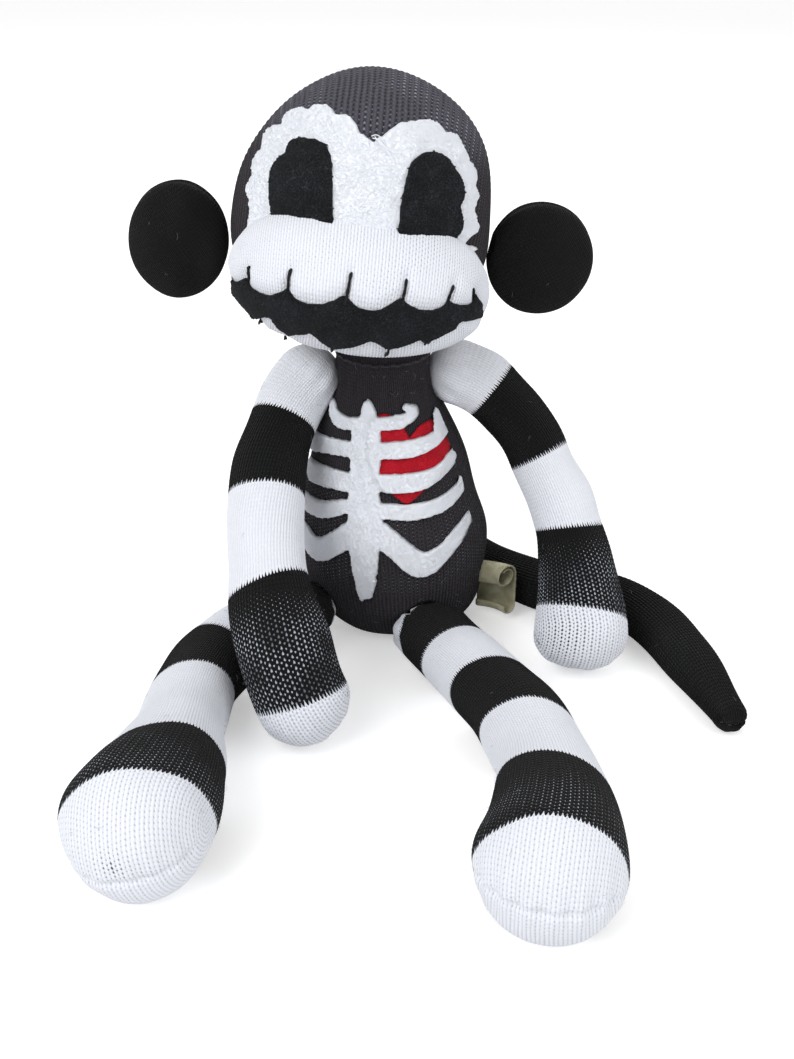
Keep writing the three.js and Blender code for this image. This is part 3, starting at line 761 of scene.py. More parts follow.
def bodyCover(inset, perWale, perCourse, detail):
    # The pear's profile, from the middle of the seat up to the top of the neck's dome, is
    # turned about the leaning axis. Each point moves out along the profile's normal by
    # the stitches' relief, slow lumps and the pleats that the neck seam draws up.
    low, pleats = body["floorGap"], body["pleats"]
    seat = np.array([[0, low], [body["outline"][0][0] - body["seatEdge"], low]])
    side = bodyLine[bodyLine[:, 1] > 0.3]
    rise = np.linspace(0, np.pi / 2, 60)[1:]
    dome = np.stack([
        body["neckRadius"] * np.cos(rise),
        body["neckHeight"] + body["neckRadius"] * np.sin(rise),
    ], 1)
    profile = np.vstack([seat, side, dome])
    rows = int(lineLength(profile) / body["course"] * perCourse)
    profile = evenly(profile, rows)
    along = unit(np.gradient(profile, axis=0))
    outward = np.stack([along[:, 1], -along[:, 0]], 1)
    turn = np.linspace(0, 2 * np.pi, body["wales"] * perWale + 1)
    turn[-1] = 0
    wale = np.linspace(0, body["wales"], len(turn))[None] + np.zeros((rows, 1))
    course = (np.arange(rows) / perCourse)[:, None] + np.zeros(len(turn))
    round3 = np.stack([np.cos(turn), np.sin(turn), 0 * turn], -1)[None]
    radius, height = profile.T[..., None]
    axis = np.stack([*bodyLean(height), height], -1)
    upward = np.array([0, 0, 1.0])
    normal = round3 * outward[:, :1, None] + upward * outward[:, 1:, None]
    points = axis + round3 * radius[..., None] - normal * inset
    free = smooth(radius, 3, 12) * smooth(height, 0.3, 3)
    swell = detail * body["relief"] * free * (knitRelief(wale, course) - 0.5)
    swell += body["lumps"] * lumps(points, body["lumpSize"], body["lumpSeed"]) * free
    pleat = np.exp(-(((height - pleats["height"]) / pleats["spread"]) ** 2))
    sway = 0.8 * lumps(points, 30, 12)
    swell += detail * pleat * pleats["depth"] * np.cos(turn * pleats["count"] + sway)
    points = points + normal * swell[..., None]
    inward = -round3 + np.zeros_like(points)
    for limb in limbs.values():
        reach = limb["radius"][0][1] * limb["flat"][2] + body["jointGap"] + inset
        points = pushOutOfBall(points, np.array(limb["pivot"], float), reach, inward)
    points[..., 2] = np.maximum(points[..., 2], low + inset)
    points[:, -1] = points[:, 0]
    loose = smooth(height, *body["openFrom"]) * (1 - smooth(height, *body["openTo"]))
    values = {"stretch": body["open"] * loose + np.zeros_like(wale)}
    return points, np.stack([wale, course], -1), values


def stitchGrid(cover, rows, columns):  # the wale and the course of each point
    return np.meshgrid(
        np.linspace(0, cover["wales"], rows), np.linspace(0, cover["courses"], columns),
        indexing="ij",
    )


def headCover(inset, perWale, perCourse, detail):
    # A squarish oval whose upper and lower halves have their own heights: a unit direction
    # is divided by its length in the squareness norm, then stretched to the half sizes.
    # Wales are its cuts by upright planes that face sideways, over the crown to the back.
    rows = head["wales"] * perWale + 1
    columns = int(head["courses"] * perCourse) + 1
    a = np.linspace(-np.pi / 2, np.pi / 2, rows)[:, None]
    b = np.linspace(0, 2 * np.pi, columns)[None] + 0.5
    cosA, sinA = np.cos(a), np.sin(a)
    cosA[[0, -1]] = 0
    tall = np.where(np.cos(b) > 0, head["up"], head["down"])
    power = head["squareness"]
    shares = np.stack([sinA + 0 * b, cosA * -np.sin(b), cosA * np.cos(b)], -1)
    shares = onOval(shares, power)
    half = halfSizes(head["halfWidth"], head["halfDepth"], tall)
    points = shares * (half - inset)
    points[..., 2] += head["waist"]
    points[..., 0] += crownLean(points[..., 2])
    normal = ovalNormal(shares, half, power)
    wale, course = stitchGrid(head, rows, columns)
    free = smooth(cosA, 0.05, 0.3)
    swell = detail * head["relief"] * free * (knitRelief(wale, course) - 0.5)
    swell = swell + head["lumps"] * lumps(points, head["lumpSize"], head["lumpSeed"])
    points = points + normal * swell[..., None]
    pivot = worldToHead(neckPivot)
    up = np.zeros_like(points) + np.array([0, 0, 1.0])
    points = pushOutOfBall(points, pivot, body["neckRadius"] + body["jointGap"] + inset, up)
    points[:, -1] = points[:, 0]
    crown = smooth(points[..., 2], *head["crown"])
    values = {"stretch": head["open"] + head["crownOpen"] * crown}
    return headToWorld(points), np.stack([wale, course], -1), values


def limbLine(limb, count=900):
    # A cubic curve from the joint through two handles to the tip's centre, in even steps
    p = np.vstack([np.zeros(3), np.array(limb["path"], float)])
    t = np.linspace(0, 1, count)[:, None]
    curve = (1 - t) ** 3 * p[0] + 3 * (1 - t) ** 2 * t * p[1]
    curve = curve + 3 * (1 - t) * t**2 * p[2] + t**3 * p[3]
    return evenly(curve, count) + np.array(limb["pivot"], float)


def limbRadius(limb, t):
    places, sizes = zip(*limb["radius"])
    out = np.full(np.shape(t), float(sizes[0]))
    for k in range(len(places) - 1):
        out = out + (sizes[k + 1] - sizes[k]) * smooth(t, places[k], places[k + 1])
    return out


def turnAbout(points, pivot, axis, degrees):
    # Turns points about an axis through the pivot: the part along the axis stays
    k = np.array(axis, float) / np.linalg.norm(axis)
    q = points - np.array(pivot, float)
    angle = math.radians(degrees)
    along = (q @ k)[..., None] * k
    turned = along + (q - along) * math.cos(angle) + np.cross(k, q) * math.sin(angle)
    return turned + np.array(pivot, float)


def keepOutOfBody(points, limb, inset):
    # Where the limb would lie in the body, at rest or at an end of its swing, it is
    # pressed in, square to the body's axis. Its root ball stays in its socket. Three
    # rounds, because each push for one end can undo a little of another's.
    gap = body["jointGap"] + inset
    rootRadius = limb["radius"][0][1] * limb["flat"][2] - inset
    fromPivot = np.linalg.norm(points - np.array(limb["pivot"], float), axis=-1)
    outside = fromPivot > rootRadius + 0.2
    for degrees in (*limb["limits"], 0) * 3:
        turned = turnAbout(points, limb["pivot"], limb["axis"], degrees)
        leanX, leanY = bodyLean(turned[..., 2])
        gapX, gapY = turned[..., 0] - leanX, turned[..., 1] - leanY
        away = np.hypot(gapX, gapY)
        want = bodyRadius(turned[..., 2]) + gap + (limbShape["swingGap"] if degrees else 0)
        short = np.where(outside & (turned[..., 2] < body["neckHeight"]), want - away, 0)
        push = np.maximum(short, 0) / np.maximum(away, 1)
        turned = turned + np.stack([gapX * push, gapY * push, 0 * push], -1)
        points = turnAbout(turned, limb["pivot"], limb["axis"], -degrees)
    return points


def limbCover(limb, inset, perWale, perCourse, detail):
    # Three grids in one: a round root, a tube whose radius follows the limb, and a round
    # tip that is sewn flat. In the tip each wale keeps its place across the limb and
    # curves over until front and back meet on the end seam.
    count = int(limb["wales"] * perWale)
    turn = np.linspace(0, 2 * np.pi, count + 1)
    cosT, sinT = np.cos(turn), np.sin(turn)
    sinT[[0, -1]] = 0
    line = limbLine(limb)
    length = lineLength(line)
    ahead = unit(np.gradient(line, axis=0))
    up = np.array(limb["up"], float)
    up = unit(up - (ahead @ up)[:, None] * ahead)
    side = np.cross(ahead, up)
    side = side * (1 if side[-1, 0] > 0 else -1)
    step = limb["course"] / perCourse
    r0, r1 = limb["radius"][0][1], limb["radius"][-1][1]
    back = np.linspace(np.pi / 2, 0, max(5, int(r0 * 1.57 / step / 2)))[:-1]
    tube = np.linspace(0, length, int(length / step))
    over = np.linspace(0, np.pi / 2, max(5, int(r1 * 1.57 / step)))[1:]

    def at(values):  # the line's values at the tube's rows
        where = tube / length * (len(line) - 1)
        places = np.arange(len(line))
        return np.stack([np.interp(where, places, column) for column in values.T], -1)

    def atRows(values):  # the same for the rows of all three grids
        root, tip = np.repeat(values[:1], len(back), 0), np.repeat(values[-1:], len(over), 0)
        return np.concatenate([root, at(values), tip])[:, None]

    def ring(across, upward):  # a unit vector round the limb for each column
        return across[:, None] * cosT[None, :, None] + upward[:, None] * sinT[None, :, None]

    r0, r1 = r0 - inset, r1 - inset
    rootNormal = ring(
        np.cos(back)[:, None] * side[0], np.cos(back)[:, None] * up[0]
    ) - np.sin(back)[:, None, None] * ahead[0]
    rootNormal[0] = -ahead[0]
    tubeNormal = ring(at(side), at(up))
    tubeRadius = limbRadius(limb, tube / length) - inset
    # The upper half turns down past the limb's direction by the seam's drop, and the
    # lower half turns up that much less
    quarter = 1 + np.sign(sinT) * math.radians(limb["seamDrop"]) / (np.pi / 2)
    swing = over[:, None] * quarter[None]
    tipNormal = (
        side[-1] * cosT[None, :, None]
        + up[-1] * (sinT[None] * np.cos(swing))[..., None]
        + ahead[-1] * (np.abs(sinT)[None] * np.sin(swing))[..., None]
    )
    normal = np.concatenate([rootNormal, tubeNormal, tipNormal])
    radius = np.concatenate([np.full(len(back), r0), tubeRadius, np.full(len(over), r1)])
    offset = normal * radius[:, None, None]
    # Near the root the section is flattened along the limb's own three directions
    reach = np.concatenate([-r0 * back, tube, length + 0 * over])[:, None]
    atRoot = 1 - smooth(reach, *limbShape["rootBlend"])
    wide, low, short = limb["flat"]
    sideways, upward = atRows(side), atRows(up)
    onward = unit(np.cross(sideways, upward))
    onward = onward * np.sign((onward[:1] * ahead[0]).sum(-1, keepdims=True))
    for direction, scale in ((sideways, wide), (upward, low), (onward, short)):
        part = (offset * direction).sum(-1)
        offset = offset + direction * (part * (scale - 1) * atRoot)[..., None]
    towardEnd = (offset * onward).sum(-1)
    inTipCap = np.concatenate([0 * back, 0 * tube, 0 * over + 1])[:, None]
    offset = offset + onward * (towardEnd * (limb["tip"] - 1) * inTipCap)[..., None]
    points = atRows(line) + offset
    flat = np.abs(sinT)[None]
    along = np.concatenate([
        (-r0 * back)[:, None] + 0 * flat,
        tube[:, None] + 0 * flat,
        length + r1 * swing * flat,
    ])
    wale = np.linspace(0, limb["wales"], count + 1)[None] + 0 * along
    course = along / limb["course"]
    end = length + r1 * np.pi / 2 * quarter[None] * flat
    inTip = smooth(along, length - 6, length + 4)
    toSeam = np.where(along > length - 8, end - along, 99)
    seamHere = smooth(flat, 0.1, 0.45)
    free = smooth(along, -r0, 0)
    swell = detail * limb["relief"] * free * (knitRelief(wale, course) - 0.5)
    seed = len(limb["bands"]) + int(length)
    swell = swell + limbShape["lumps"] * lumps(points, limbShape["lumpSize"], seed) * free
    seam, rootFolds = limbShape["seam"], limbShape["rootFolds"]
    swell -= detail * seam["depth"] * seamHere * np.exp(-((toSeam / seam["width"]) ** 2))
    folds = np.cos(turn * limb["wales"] / seam["walesPerFold"])[None]
    folds = folds * np.exp(-np.maximum(toSeam, 0) / seam["foldLength"])
    swell += detail * limb["puckers"] * folds * seamHere * inTip
    folds = np.cos(turn * rootFolds["count"])[None] * free
    folds = folds * np.exp(-np.maximum(along, 0) / rootFolds["length"])
    swell += detail * rootFolds["depth"] * folds
    points = points + normal * swell[..., None]
    points = keepOutOfBody(points, limb, inset)
    points[..., 2] = np.maximum(points[..., 2], body["floorGap"] + inset)
    points[:, -1] = points[:, 0]
    opened = limb["open"] * smooth(along, *limb["stretch"])
    values = {"stretch": opened, "band": 0 * along, "bare": 0 * along}
    for place, upTilt, sideTilt in limb["bands"]:
        edge = place + upTilt * sinT[None] + sideTilt * cosT[None]
        passed = (along - edge) / limb["course"] / limbShape["bandBlend"] + 0.5
        values["band"] = values["band"] + np.clip(passed, 0, 1)
    for place, angle, size in limb["bare"]:
        across = (np.arctan2(cosT, sinT)[None] - angle) * r1
        values["bare"] = values["bare"] + np.exp(-(((along - place) ** 2 + across**2) / size**2))
    values["bare"] = np.clip(values["bare"], 0, 1)
    values["stretch"] = np.maximum(opened, values["bare"])
    return points, np.stack([wale, course], -1), values


coverFinish = {
    "right_arm": (stripes, "striped_knit", 0.8),
    "left_arm": (stripes, "striped_knit", 0.8),
    "right_leg": (stripes, "striped_knit", 0.85),
    "left_leg": (stripes, "striped_knit", 0.85),
    "tail": (blackKnit, "black_knit", 0.75),
}


def addStuffed(name, bodyName, material, cover, inner):
    # A knitted cover, given as (points, uv, values), and the points of its stuffing
    points, uv, values = cover
    piece = gridMesh(f"{name}_knit", points, uv, values)
    finishPiece(piece, bodyName, material, [f"{name}_cover"])
    piece = gridMesh(f"{name}_fibre", inner)
    finishPiece(piece, bodyName, stuffingFibre, [f"{name}_stuffing"])
    print("stage:", name, "made")


def addTube(name, surfaceAt, perWale, bodyName, material, slot, fill):
    # The cover has relief and four rows to a course; the stuffing is plain and coarse
    cover = surfaceAt(0, perWale, 4, 1)
    inner = surfaceAt(body["stuffingInset"], 1, 0.5, 0)[0]
    addStuffed(name, bodyName, material, cover, inner)


addTube("body", bodyCover, 4, "torso", charcoal, "charcoal_knit", 0.85)
addTube("head", headCover, 4, "head", charcoal, "charcoal_knit", 0.9)
for limbName, limb in limbs.items():
    surfaceAt = functools.partial(limbCover, limb)
    addTube(limbName, surfaceAt, limb["perWale"], limbName, *coverFinish[limbName])


# Head front as a carrier: a place (x, z) seen from the front, and a height above it


def headFront(x, z, height):
    # The oval's front at that place, moved out along its own normal
    tall = np.where(z > head["waist"], head["up"], head["down"])
    half = halfSizes(head["halfWidth"], head["halfDepth"], tall)
    level = (z - head["waist"]) / tall
    beside = (x - crownLean(z)) / head["halfWidth"]
    depth, normal = ovalFront(beside, level, half, head["squareness"])
    points = np.stack([x, -head["halfDepth"] * depth, z], -1)
    swell = head["lumps"] * lumps(points, head["lumpSize"], head["lumpSeed"]) + height
    return headToWorld(points + normal * swell[..., None])


def bodyFront(x, z, height):
    # The body's front at that place, in the frame that turns with the chest
    turn = math.radians(body["chestTurn"])
    leanX, leanY = bodyLean(z)
    centreX = leanX * math.cos(turn) + leanY * math.sin(turn)
    centreY = -leanX * math.sin(turn) + leanY * math.cos(turn)
    radius = bodyRadius(z) + height
    gap = np.clip((x - centreX) / radius, -0.98, 0.98)
    y = centreY - radius * np.sqrt(1 - gap**2)
    x = centreX + radius * gap
    world = np.stack([
        x * math.cos(turn) - y * math.sin(turn), x * math.sin(turn) + y * math.cos(turn), z,
    ], -1)
    axis = np.stack([leanX, leanY, z], -1)
    outward = unit((world - axis) * np.array([1, 1, 0]))
    swell = body["lumps"] * lumps(world, body["lumpSize"], body["lumpSeed"])
    return world + outward * swell[..., None]


muzzle = {
    "centre": (1.4, -30, -16.2),
    "half": (42.6, 28, 25.4),
    "lowHalf": 22.3,
    "squareness": 2.1,
    "slope": -0.03,
    "wales": 66,
    "courses": 96,
    "relief": 0.15,
    "puff": 1.5,
    "groove": 1.3,
    "grooveWidth": 1.5,
    "headGap": 0.3,
    "open": 0.42,
    "stuffing": 0.92,
    "teeth": [  # each stitch from its lower end to its upper one
        ((-36.0, 0.2), (-34.7, 5.4)), ((-22.7, 1.7), (-21.3, 8.9)), ((-3.8, 3.0), (-2.7, 11.2)),
        ((13.9, 4.2), (14.4, 10.8)), ((29.0, 3.5), (29.2, 8.9)), ((37.8, 3.5), (36.8, 6.8)),
    ],
    "upperEdge": [
        (-40.9, -1.7), (-40.3, -2.5), (-39.2, -1.9), (-37.8, -0.7), (-36.8, 0.6), (-36.1, 0.4),
        (-35.1, -0.3), (-33.7, -0.8), (-32.1, -1.3), (-30.4, -1.8), (-27.8, -1.4), (-25.7, -0.2),
        (-24.2, 1), (-23, 1.9), (-21.4, 1.4), (-20, 0.2), (-17.8, -0.6), (-14.7, -0.7),
        (-12.2, -0.3), (-9.8, 0.6), (-7.2, 2.1), (-5.4, 3.3), (-4.2, 3.3), (-2.6, 2.5), (-0.6, 1.2),
        (1.3, 0.4), (4.5, 0.1), (6.9, 0.7), (9.8, 2.6), (12.1, 4.2), (13.2, 4.7), (14.9, 3.6),
        (16.9, 2.5), (19.2, 1.6), (22.3, 1.5), (25.4, 2), (27.1, 3), (28.3, 3.9), (28.9, 4.1),
        (30.3, 3.1), (32, 2.5), (33.6, 2.2), (35.5, 2.3), (36.8, 2.9), (37.3, 4), (37.8, 4.9),
    ],
    "lowerEdge": [
        (39.2, 2.4), (39.9, -0.4), (40.2, -3.8), (38.4, -3.7), (35.7, -3.4), (33.4, -3.3),
        (32.2, -3.9), (31.2, -5.6), (29.1, -7.1), (26.7, -8.2), (24.4, -9.5), (22.3, -11),
        (20.5, -9.4), (18.7, -10), (16.6, -11.4), (14.6, -12.7), (12.1, -13.3), (10.9, -14),
        (9.2, -12.8), (7.5, -11.6), (4.9, -10.8), (1.9, -12.9), (-0.5, -14.4), (-3.3, -15.7),
        (-5.9, -17.4), (-7.2, -16.7), (-9.1, -15.8), (-11.4, -13.7), (-13.4, -11.8), (-14.4, -11.5),
        (-15.6, -12.3), (-18.5, -13.2), (-20.8, -15.6), (-22.4, -14.2), (-24.1, -13.4),
        (-25.3, -11.9), (-26.9, -9.8), (-27.6, -9.3), (-29.6, -10.6), (-31.2, -13.1), (-33.2, -17.3),
        (-34.5, -16.4), (-35.5, -15.2), (-37.9, -12.8), (-39.9, -10.7), (-40.9, -8.9), (-40.8, -4.7),
    ],
    "lowTips": [
        (-31.1, -18.2), (-22.6, -22.4), (-7.2, -20.4), (10.3, -17.8), (22.7, -12.4),
    ],
}
mouthLine = closedLine(muzzle["upperEdge"] + muzzle["lowerEdge"], 420)


def muzzlePuff(x, z):
    # How far the stuffed knit stands out: it swells away from the mouth's felt, which
    # holds it down, and each tooth stitch draws a groove up from the felt's cusp
    out = -insideOutline(x, z, mouthLine)
    swell = muzzle["puff"] * smooth(out, -0.4, 4.5)
    for (lowX, low), (highX, high) in muzzle["teeth"]:
        place = lowX + (highX - lowX) * (z - low) / (high - low)
        beside = np.exp(-(((x - place) / muzzle["grooveWidth"]) ** 2))
        ends = smooth(z, low - 3, low) * (1 - smooth(z, high - 1, high + 3.5))
        swell -= muzzle["groove"] * beside * ends
    return swell


def onMuzzle(x, z, height):
    # The muzzle's front at that place, with its puffs, moved out along the oval's normal
    wide, deep, high = muzzle["half"]
    tall = np.where(z > 0, high, muzzle["lowHalf"])
    half = halfSizes(wide, deep, tall)
    depth, normal = ovalFront(x / wide, z / tall, half, muzzle["squareness"])
    points = np.stack([x, -deep * depth, z + muzzle["slope"] * x], -1)
    swell = muzzlePuff(x, z) + height
    return headToWorld(points + normal * swell[..., None] + np.array(muzzle["centre"], float))


def headSize(p):  # 1 on the head's skin, more outside it
    power = head["squareness"]
    tall = np.where(p[..., 2] > head["waist"], head["up"], head["down"])
    return (
        np.abs((p[..., 0] - crownLean(p[..., 2])) / head["halfWidth"]) ** power
        + np.abs(p[..., 1] / head["halfDepth"]) ** power
        + np.abs((p[..., 2] - head["waist"]) / tall) ** power
    ) ** (1 / power)


def layOnHead(points, gap):
    # A point inside the head moves straight out from its middle until it lies on the skin
    middle = np.array([0, 0, head["waist"]], float)
    size = headSize(points)
    want = 1 + gap / head["halfWidth"]
    grow = np.where(size < want, want / np.maximum(size, 1e-3), 1)
    return middle + (points - middle) * grow[..., None]


def bringForward(points, gap):
    # A point inside the head moves straight forward until it lies on the face's skin,
    # whose depth is what the sideways and upward shares leave of the squareness norm
    power = head["squareness"]
    want = 1 + gap / head["halfWidth"]
    tall = np.where(points[..., 2] > head["waist"], head["up"], head["down"])
    beside = np.abs((points[..., 0] - crownLean(points[..., 2])) / head["halfWidth"])
    level = np.abs((points[..., 2] - head["waist"]) / tall)
    left = np.maximum(want**power - beside**power - level**power, 0)
    skin = -head["halfDepth"] * left ** (1 / power)
    inside = headSize(points) < want
    y = np.where(inside, np.minimum(points[..., 1], skin), points[..., 1])
    return np.stack([points[..., 0], y, points[..., 2]], -1)


def muzzleCover(perWale, perCourse, detail):
    # A squarish oval with upright wales, its right side a little lower, swelled by
    # muzzlePuff, its back laid against the head
    rows = int(muzzle["wales"] * perWale) + 1
    columns = int(muzzle["courses"] * perCourse) + 1
    a = np.linspace(-np.pi / 2, np.pi / 2, rows)[:, None]
    b = np.linspace(0, 2 * np.pi, columns)[None]
    cosA = np.cos(a)
    cosA[[0, -1]] = 0
    shares = np.stack([np.sin(a) + 0 * b, cosA * np.cos(b), cosA * np.sin(b)], -1)
    shares = onOval(shares, muzzle["squareness"])
    wide, deep, high = muzzle["half"]
    half = halfSizes(wide, deep, np.where(shares[..., 2] > 0, high, muzzle["lowHalf"]))
    points = shares * half
    normal = ovalNormal(shares, half, muzzle["squareness"])
    wale, course = stitchGrid(muzzle, rows, columns)
    front = smooth(-shares[..., 1], 0.0, 0.25)
    swell = front * muzzlePuff(points[..., 0], points[..., 2])
    relief = detail * muzzle["relief"] * smooth(cosA, 0.05, 0.25)
    swell = swell + relief * (knitRelief(wale, course) - 0.5)
    points[..., 2] += muzzle["slope"] * points[..., 0]
    points = points + normal * swell[..., None] + np.array(muzzle["centre"], float)
    points = bringForward(points, muzzle["headGap"])
    hem = headSize(points) < 1.02
    points[:, -1] = points[:, 0]
    stretch = muzzle["open"] + 0.25 * smooth(points[..., 0], -10, 30)
    values = {"stretch": np.where(hem, 0.1, stretch)}
    return headToWorld(points), np.stack([wale, course], -1), values


def drawnIn(points, middle, share):  # toward a middle that is given in the head's frame
    middle = headToWorld(np.array(middle, float))
    return middle + (points - middle) * share


muzzleMiddle = np.array(muzzle["centre"], float) + np.array([0, -18, 0])
addStuffed(
    "muzzle", "head", whiteKnit, muzzleCover(4, 3, 1),
    drawnIn(muzzleCover(1, 1, 0)[0], muzzleMiddle, muzzle["stuffing"]),
)

ears = {
    "right_ear": {"side": -1, "halfWidth": 17.3, "halfHeight": 20.6, "height": -18.7},
    "left_ear": {"side": 1, "halfWidth": 18.6, "halfHeight": 19.7, "height": -12.4},
}
earShape = {
    "halfDepth": 7.5,
    "seam": 46.3,
    "rootInset": 1.5,
    "fold": 25,
    "pitch": 1.25,
    "ribs": 0.12,
    "roundness": 0.62,
    "dish": {"place": (6, -2), "size": (9, 10), "depth": 2.2},
    "rim": {"width": 0.05, "drawnIn": 0.03},
    "jointGap": 0.45,
    "lumps": 0.35,
    "lumpSize": 16,
    "stuffing": 0.86,
}


def earCover(ear, count, rings, detail):
    # Two crowned faces that meet on a rim seam. Going from the front's middle over the
    # rim to the back's middle, the distance from the axis follows a sine and the depth a
    # flattened cosine. The front is dished near the root, where the ear is sewn on.
    wide, deep, tall = ear["halfWidth"], earShape["halfDepth"], ear["halfHeight"]
    w = np.linspace(0, np.pi, rings)[:, None]
    turn = np.linspace(0, 2 * np.pi, count + 1)[None]
    out = np.sin(w)
    out[[0, -1]] = 0
    depth = -np.sign(np.cos(w)) * np.abs(np.cos(w)) ** earShape["roundness"]
    rim = np.exp(-(((w - np.pi / 2) / earShape["rim"]["width"]) ** 2))
    x = wide * out * np.cos(turn)
    z = tall * out * np.sin(turn)
    y = deep * depth + 0 * turn
    points = np.stack([x, y, z], -1)
    rib = np.abs(np.sin((x * 0.8 + z * 0.6) / earShape["pitch"] * np.pi))
    swell = earShape["lumps"] * lumps(points, earShape["lumpSize"], 31 + ear["side"])
    points[..., 1] += np.sign(y) * (swell + detail * earShape["ribs"] * rib)
    towardHead = -ear["side"] * x
    (dishX, dishZ), (sizeX, sizeZ) = earShape["dish"]["place"], earShape["dish"]["size"]
    dish = np.exp(-(((towardHead - dishX) / sizeX) ** 2 + ((z - dishZ) / sizeZ) ** 2))
    points[..., 1] -= np.sign(y) * earShape["dish"]["depth"] * dish * smooth(np.abs(y), 0, 5)
    points[..., [0, 2]] *= (1 - detail * earShape["rim"]["drawnIn"] * rim)[..., None]
    seamFromCentre = wide - earShape["rootInset"]
    seam = np.array([ear["side"] * earShape["seam"], 0, ear["height"]])
    points += seam + np.array([ear["side"] * seamFromCentre, 0, 0])
    for fold in (-earShape["fold"], earShape["fold"], 0):
        turned = turnAbout(points, seam, (0, 0, 1), fold)
        points = turnAbout(layOnHead(turned, earShape["jointGap"]), seam, (0, 0, 1), -fold)
    points[:, -1] = points[:, 0]
    uv = np.stack([x * 0.8 + z * 0.6, z * 0.8 - x * 0.6], -1) / earShape["pitch"]
    return headToWorld(points), uv, {"stretch": 0.3 + 0 * x}


for earName, ear in ears.items():
    middle = (ear["side"] * (earShape["seam"] + ear["halfWidth"]), 0, ear["height"])
    addStuffed(
        earName, earName, blackKnit, earCover(ear, 240, 120, 1),
        drawnIn(earCover(ear, 60, 40, 0)[0], middle, earShape["stuffing"]),
    )


# Felt


feltLook = {
    "grid": 0.4,
    "measureGrid": 0.5,
    "edgeRadius": 0.55,
    "waver": (0.1, 3.1),
    "grain": (0.07, 1.7),
    "bulge": (0.12, 7),
}


def feltSheet(name, inside, cut, place):
    # A flat cut of felt. inside(x, z) is the distance in from its edge; a square grid is
    # kept where that is above 0 and its border slides onto the edge. The face rises in a
    # quarter circle within the edge's radius, and the back lies at the base.
    def lumpy(kind, more):
        return feltLook[kind][0] * lumps(flat, feltLook[kind][1], cut["seed"] + more)

    step = cut.get("grid", feltLook["grid"])
    x0, z0, x1, z1 = cut["corners"]
    x, z = np.meshgrid(np.arange(x0, x1, step), np.arange(z0, z1, step))
    flat = np.stack([x, z], -1)
    d = inside(x, z) + lumpy("waver", 0)
    kept = d > -0.7 * step
    cell = kept[:-1, :-1] & kept[:-1, 1:] & kept[1:, 1:] & kept[1:, :-1]
    around = np.zeros(x.shape, int)
    for dz in (0, 1):
        for dx in (0, 1):
            around[dz:dz + cell.shape[0], dx:dx + cell.shape[1]] += cell
    edge = (around > 0) & (around < 4)
    slopeZ, slopeX = np.gradient(d, step)
    size = np.maximum(np.hypot(slopeX, slopeZ), 0.3)
    x = np.where(edge, x - d * slopeX / size, x)
    z = np.where(edge, z - d * slopeZ / size, z)
    d = np.where(edge, 0, np.maximum(d, 0.05))
    rise = np.sqrt(1 - (1 - np.minimum(d / feltLook["edgeRadius"], 1)) ** 2)
    low = cut["base"](x, z) if callable(cut["base"]) else cut["base"] + 0 * x
    high = low + (cut["thickness"] + lumpy("grain", 1) + lumpy("bulge", 2)) * rise
    used = around > 0
    inner = used & ~edge
    frontIndex = np.cumsum(used.ravel()).reshape(used.shape) - 1
    backIndex = used.sum() + np.cumsum(inner.ravel()).reshape(used.shape) - 1
    backIndex = np.where(edge, frontIndex, backIndex)
    front = place(x[used], z[used], high[used])
    back = place(x[inner], z[inner], low[inner])

    def faces(index, order):
        corner = [index[:-1, :-1], index[:-1, 1:], index[1:, 1:], index[1:, :-1]]
        return np.stack([corner[k][cell] for k in order], 1)

    quads = np.concatenate([faces(frontIndex, (0, 1, 2, 3)), faces(backIndex, (3, 2, 1, 0))])
    return meshFromFaces(name, np.vstack([front, back]), quads.ravel(), np.full(len(quads), 4))


def layFelt(inside, corners, place):
    # The flat cut's widest row and tallest column, measured along the surface; the sizes are not kept
    x0, z0, x1, z1 = corners
    step = feltLook["measureGrid"]
    x, z = np.meshgrid(np.arange(x0, x1, step), np.arange(z0, z1, step))
    kept = inside(x, z) > 0
    surface = place(x, z, 0 * x)
    across = np.linalg.norm(np.diff(surface, axis=1), axis=2)[:-1]
    upward = np.linalg.norm(np.diff(surface, axis=0), axis=2)[:, :-1]
    cell = kept[:-1, :-1]

    def extent(steps, axis):
        spanned = np.maximum.accumulate(cell, axis) & np.flip(
            np.maximum.accumulate(np.flip(cell, axis), axis), axis
        )
        return float((steps * spanned).sum(axis).max()) * mm

    size = (extent(across, 1), extent(upward, 0))


def addFelt(name, inside, cut, place, bodyName, material, node):
    piece = feltSheet(name, inside, cut, place)
    finishPiece(piece, bodyName, material, [node])
    layFelt(inside, cut["corners"], place)


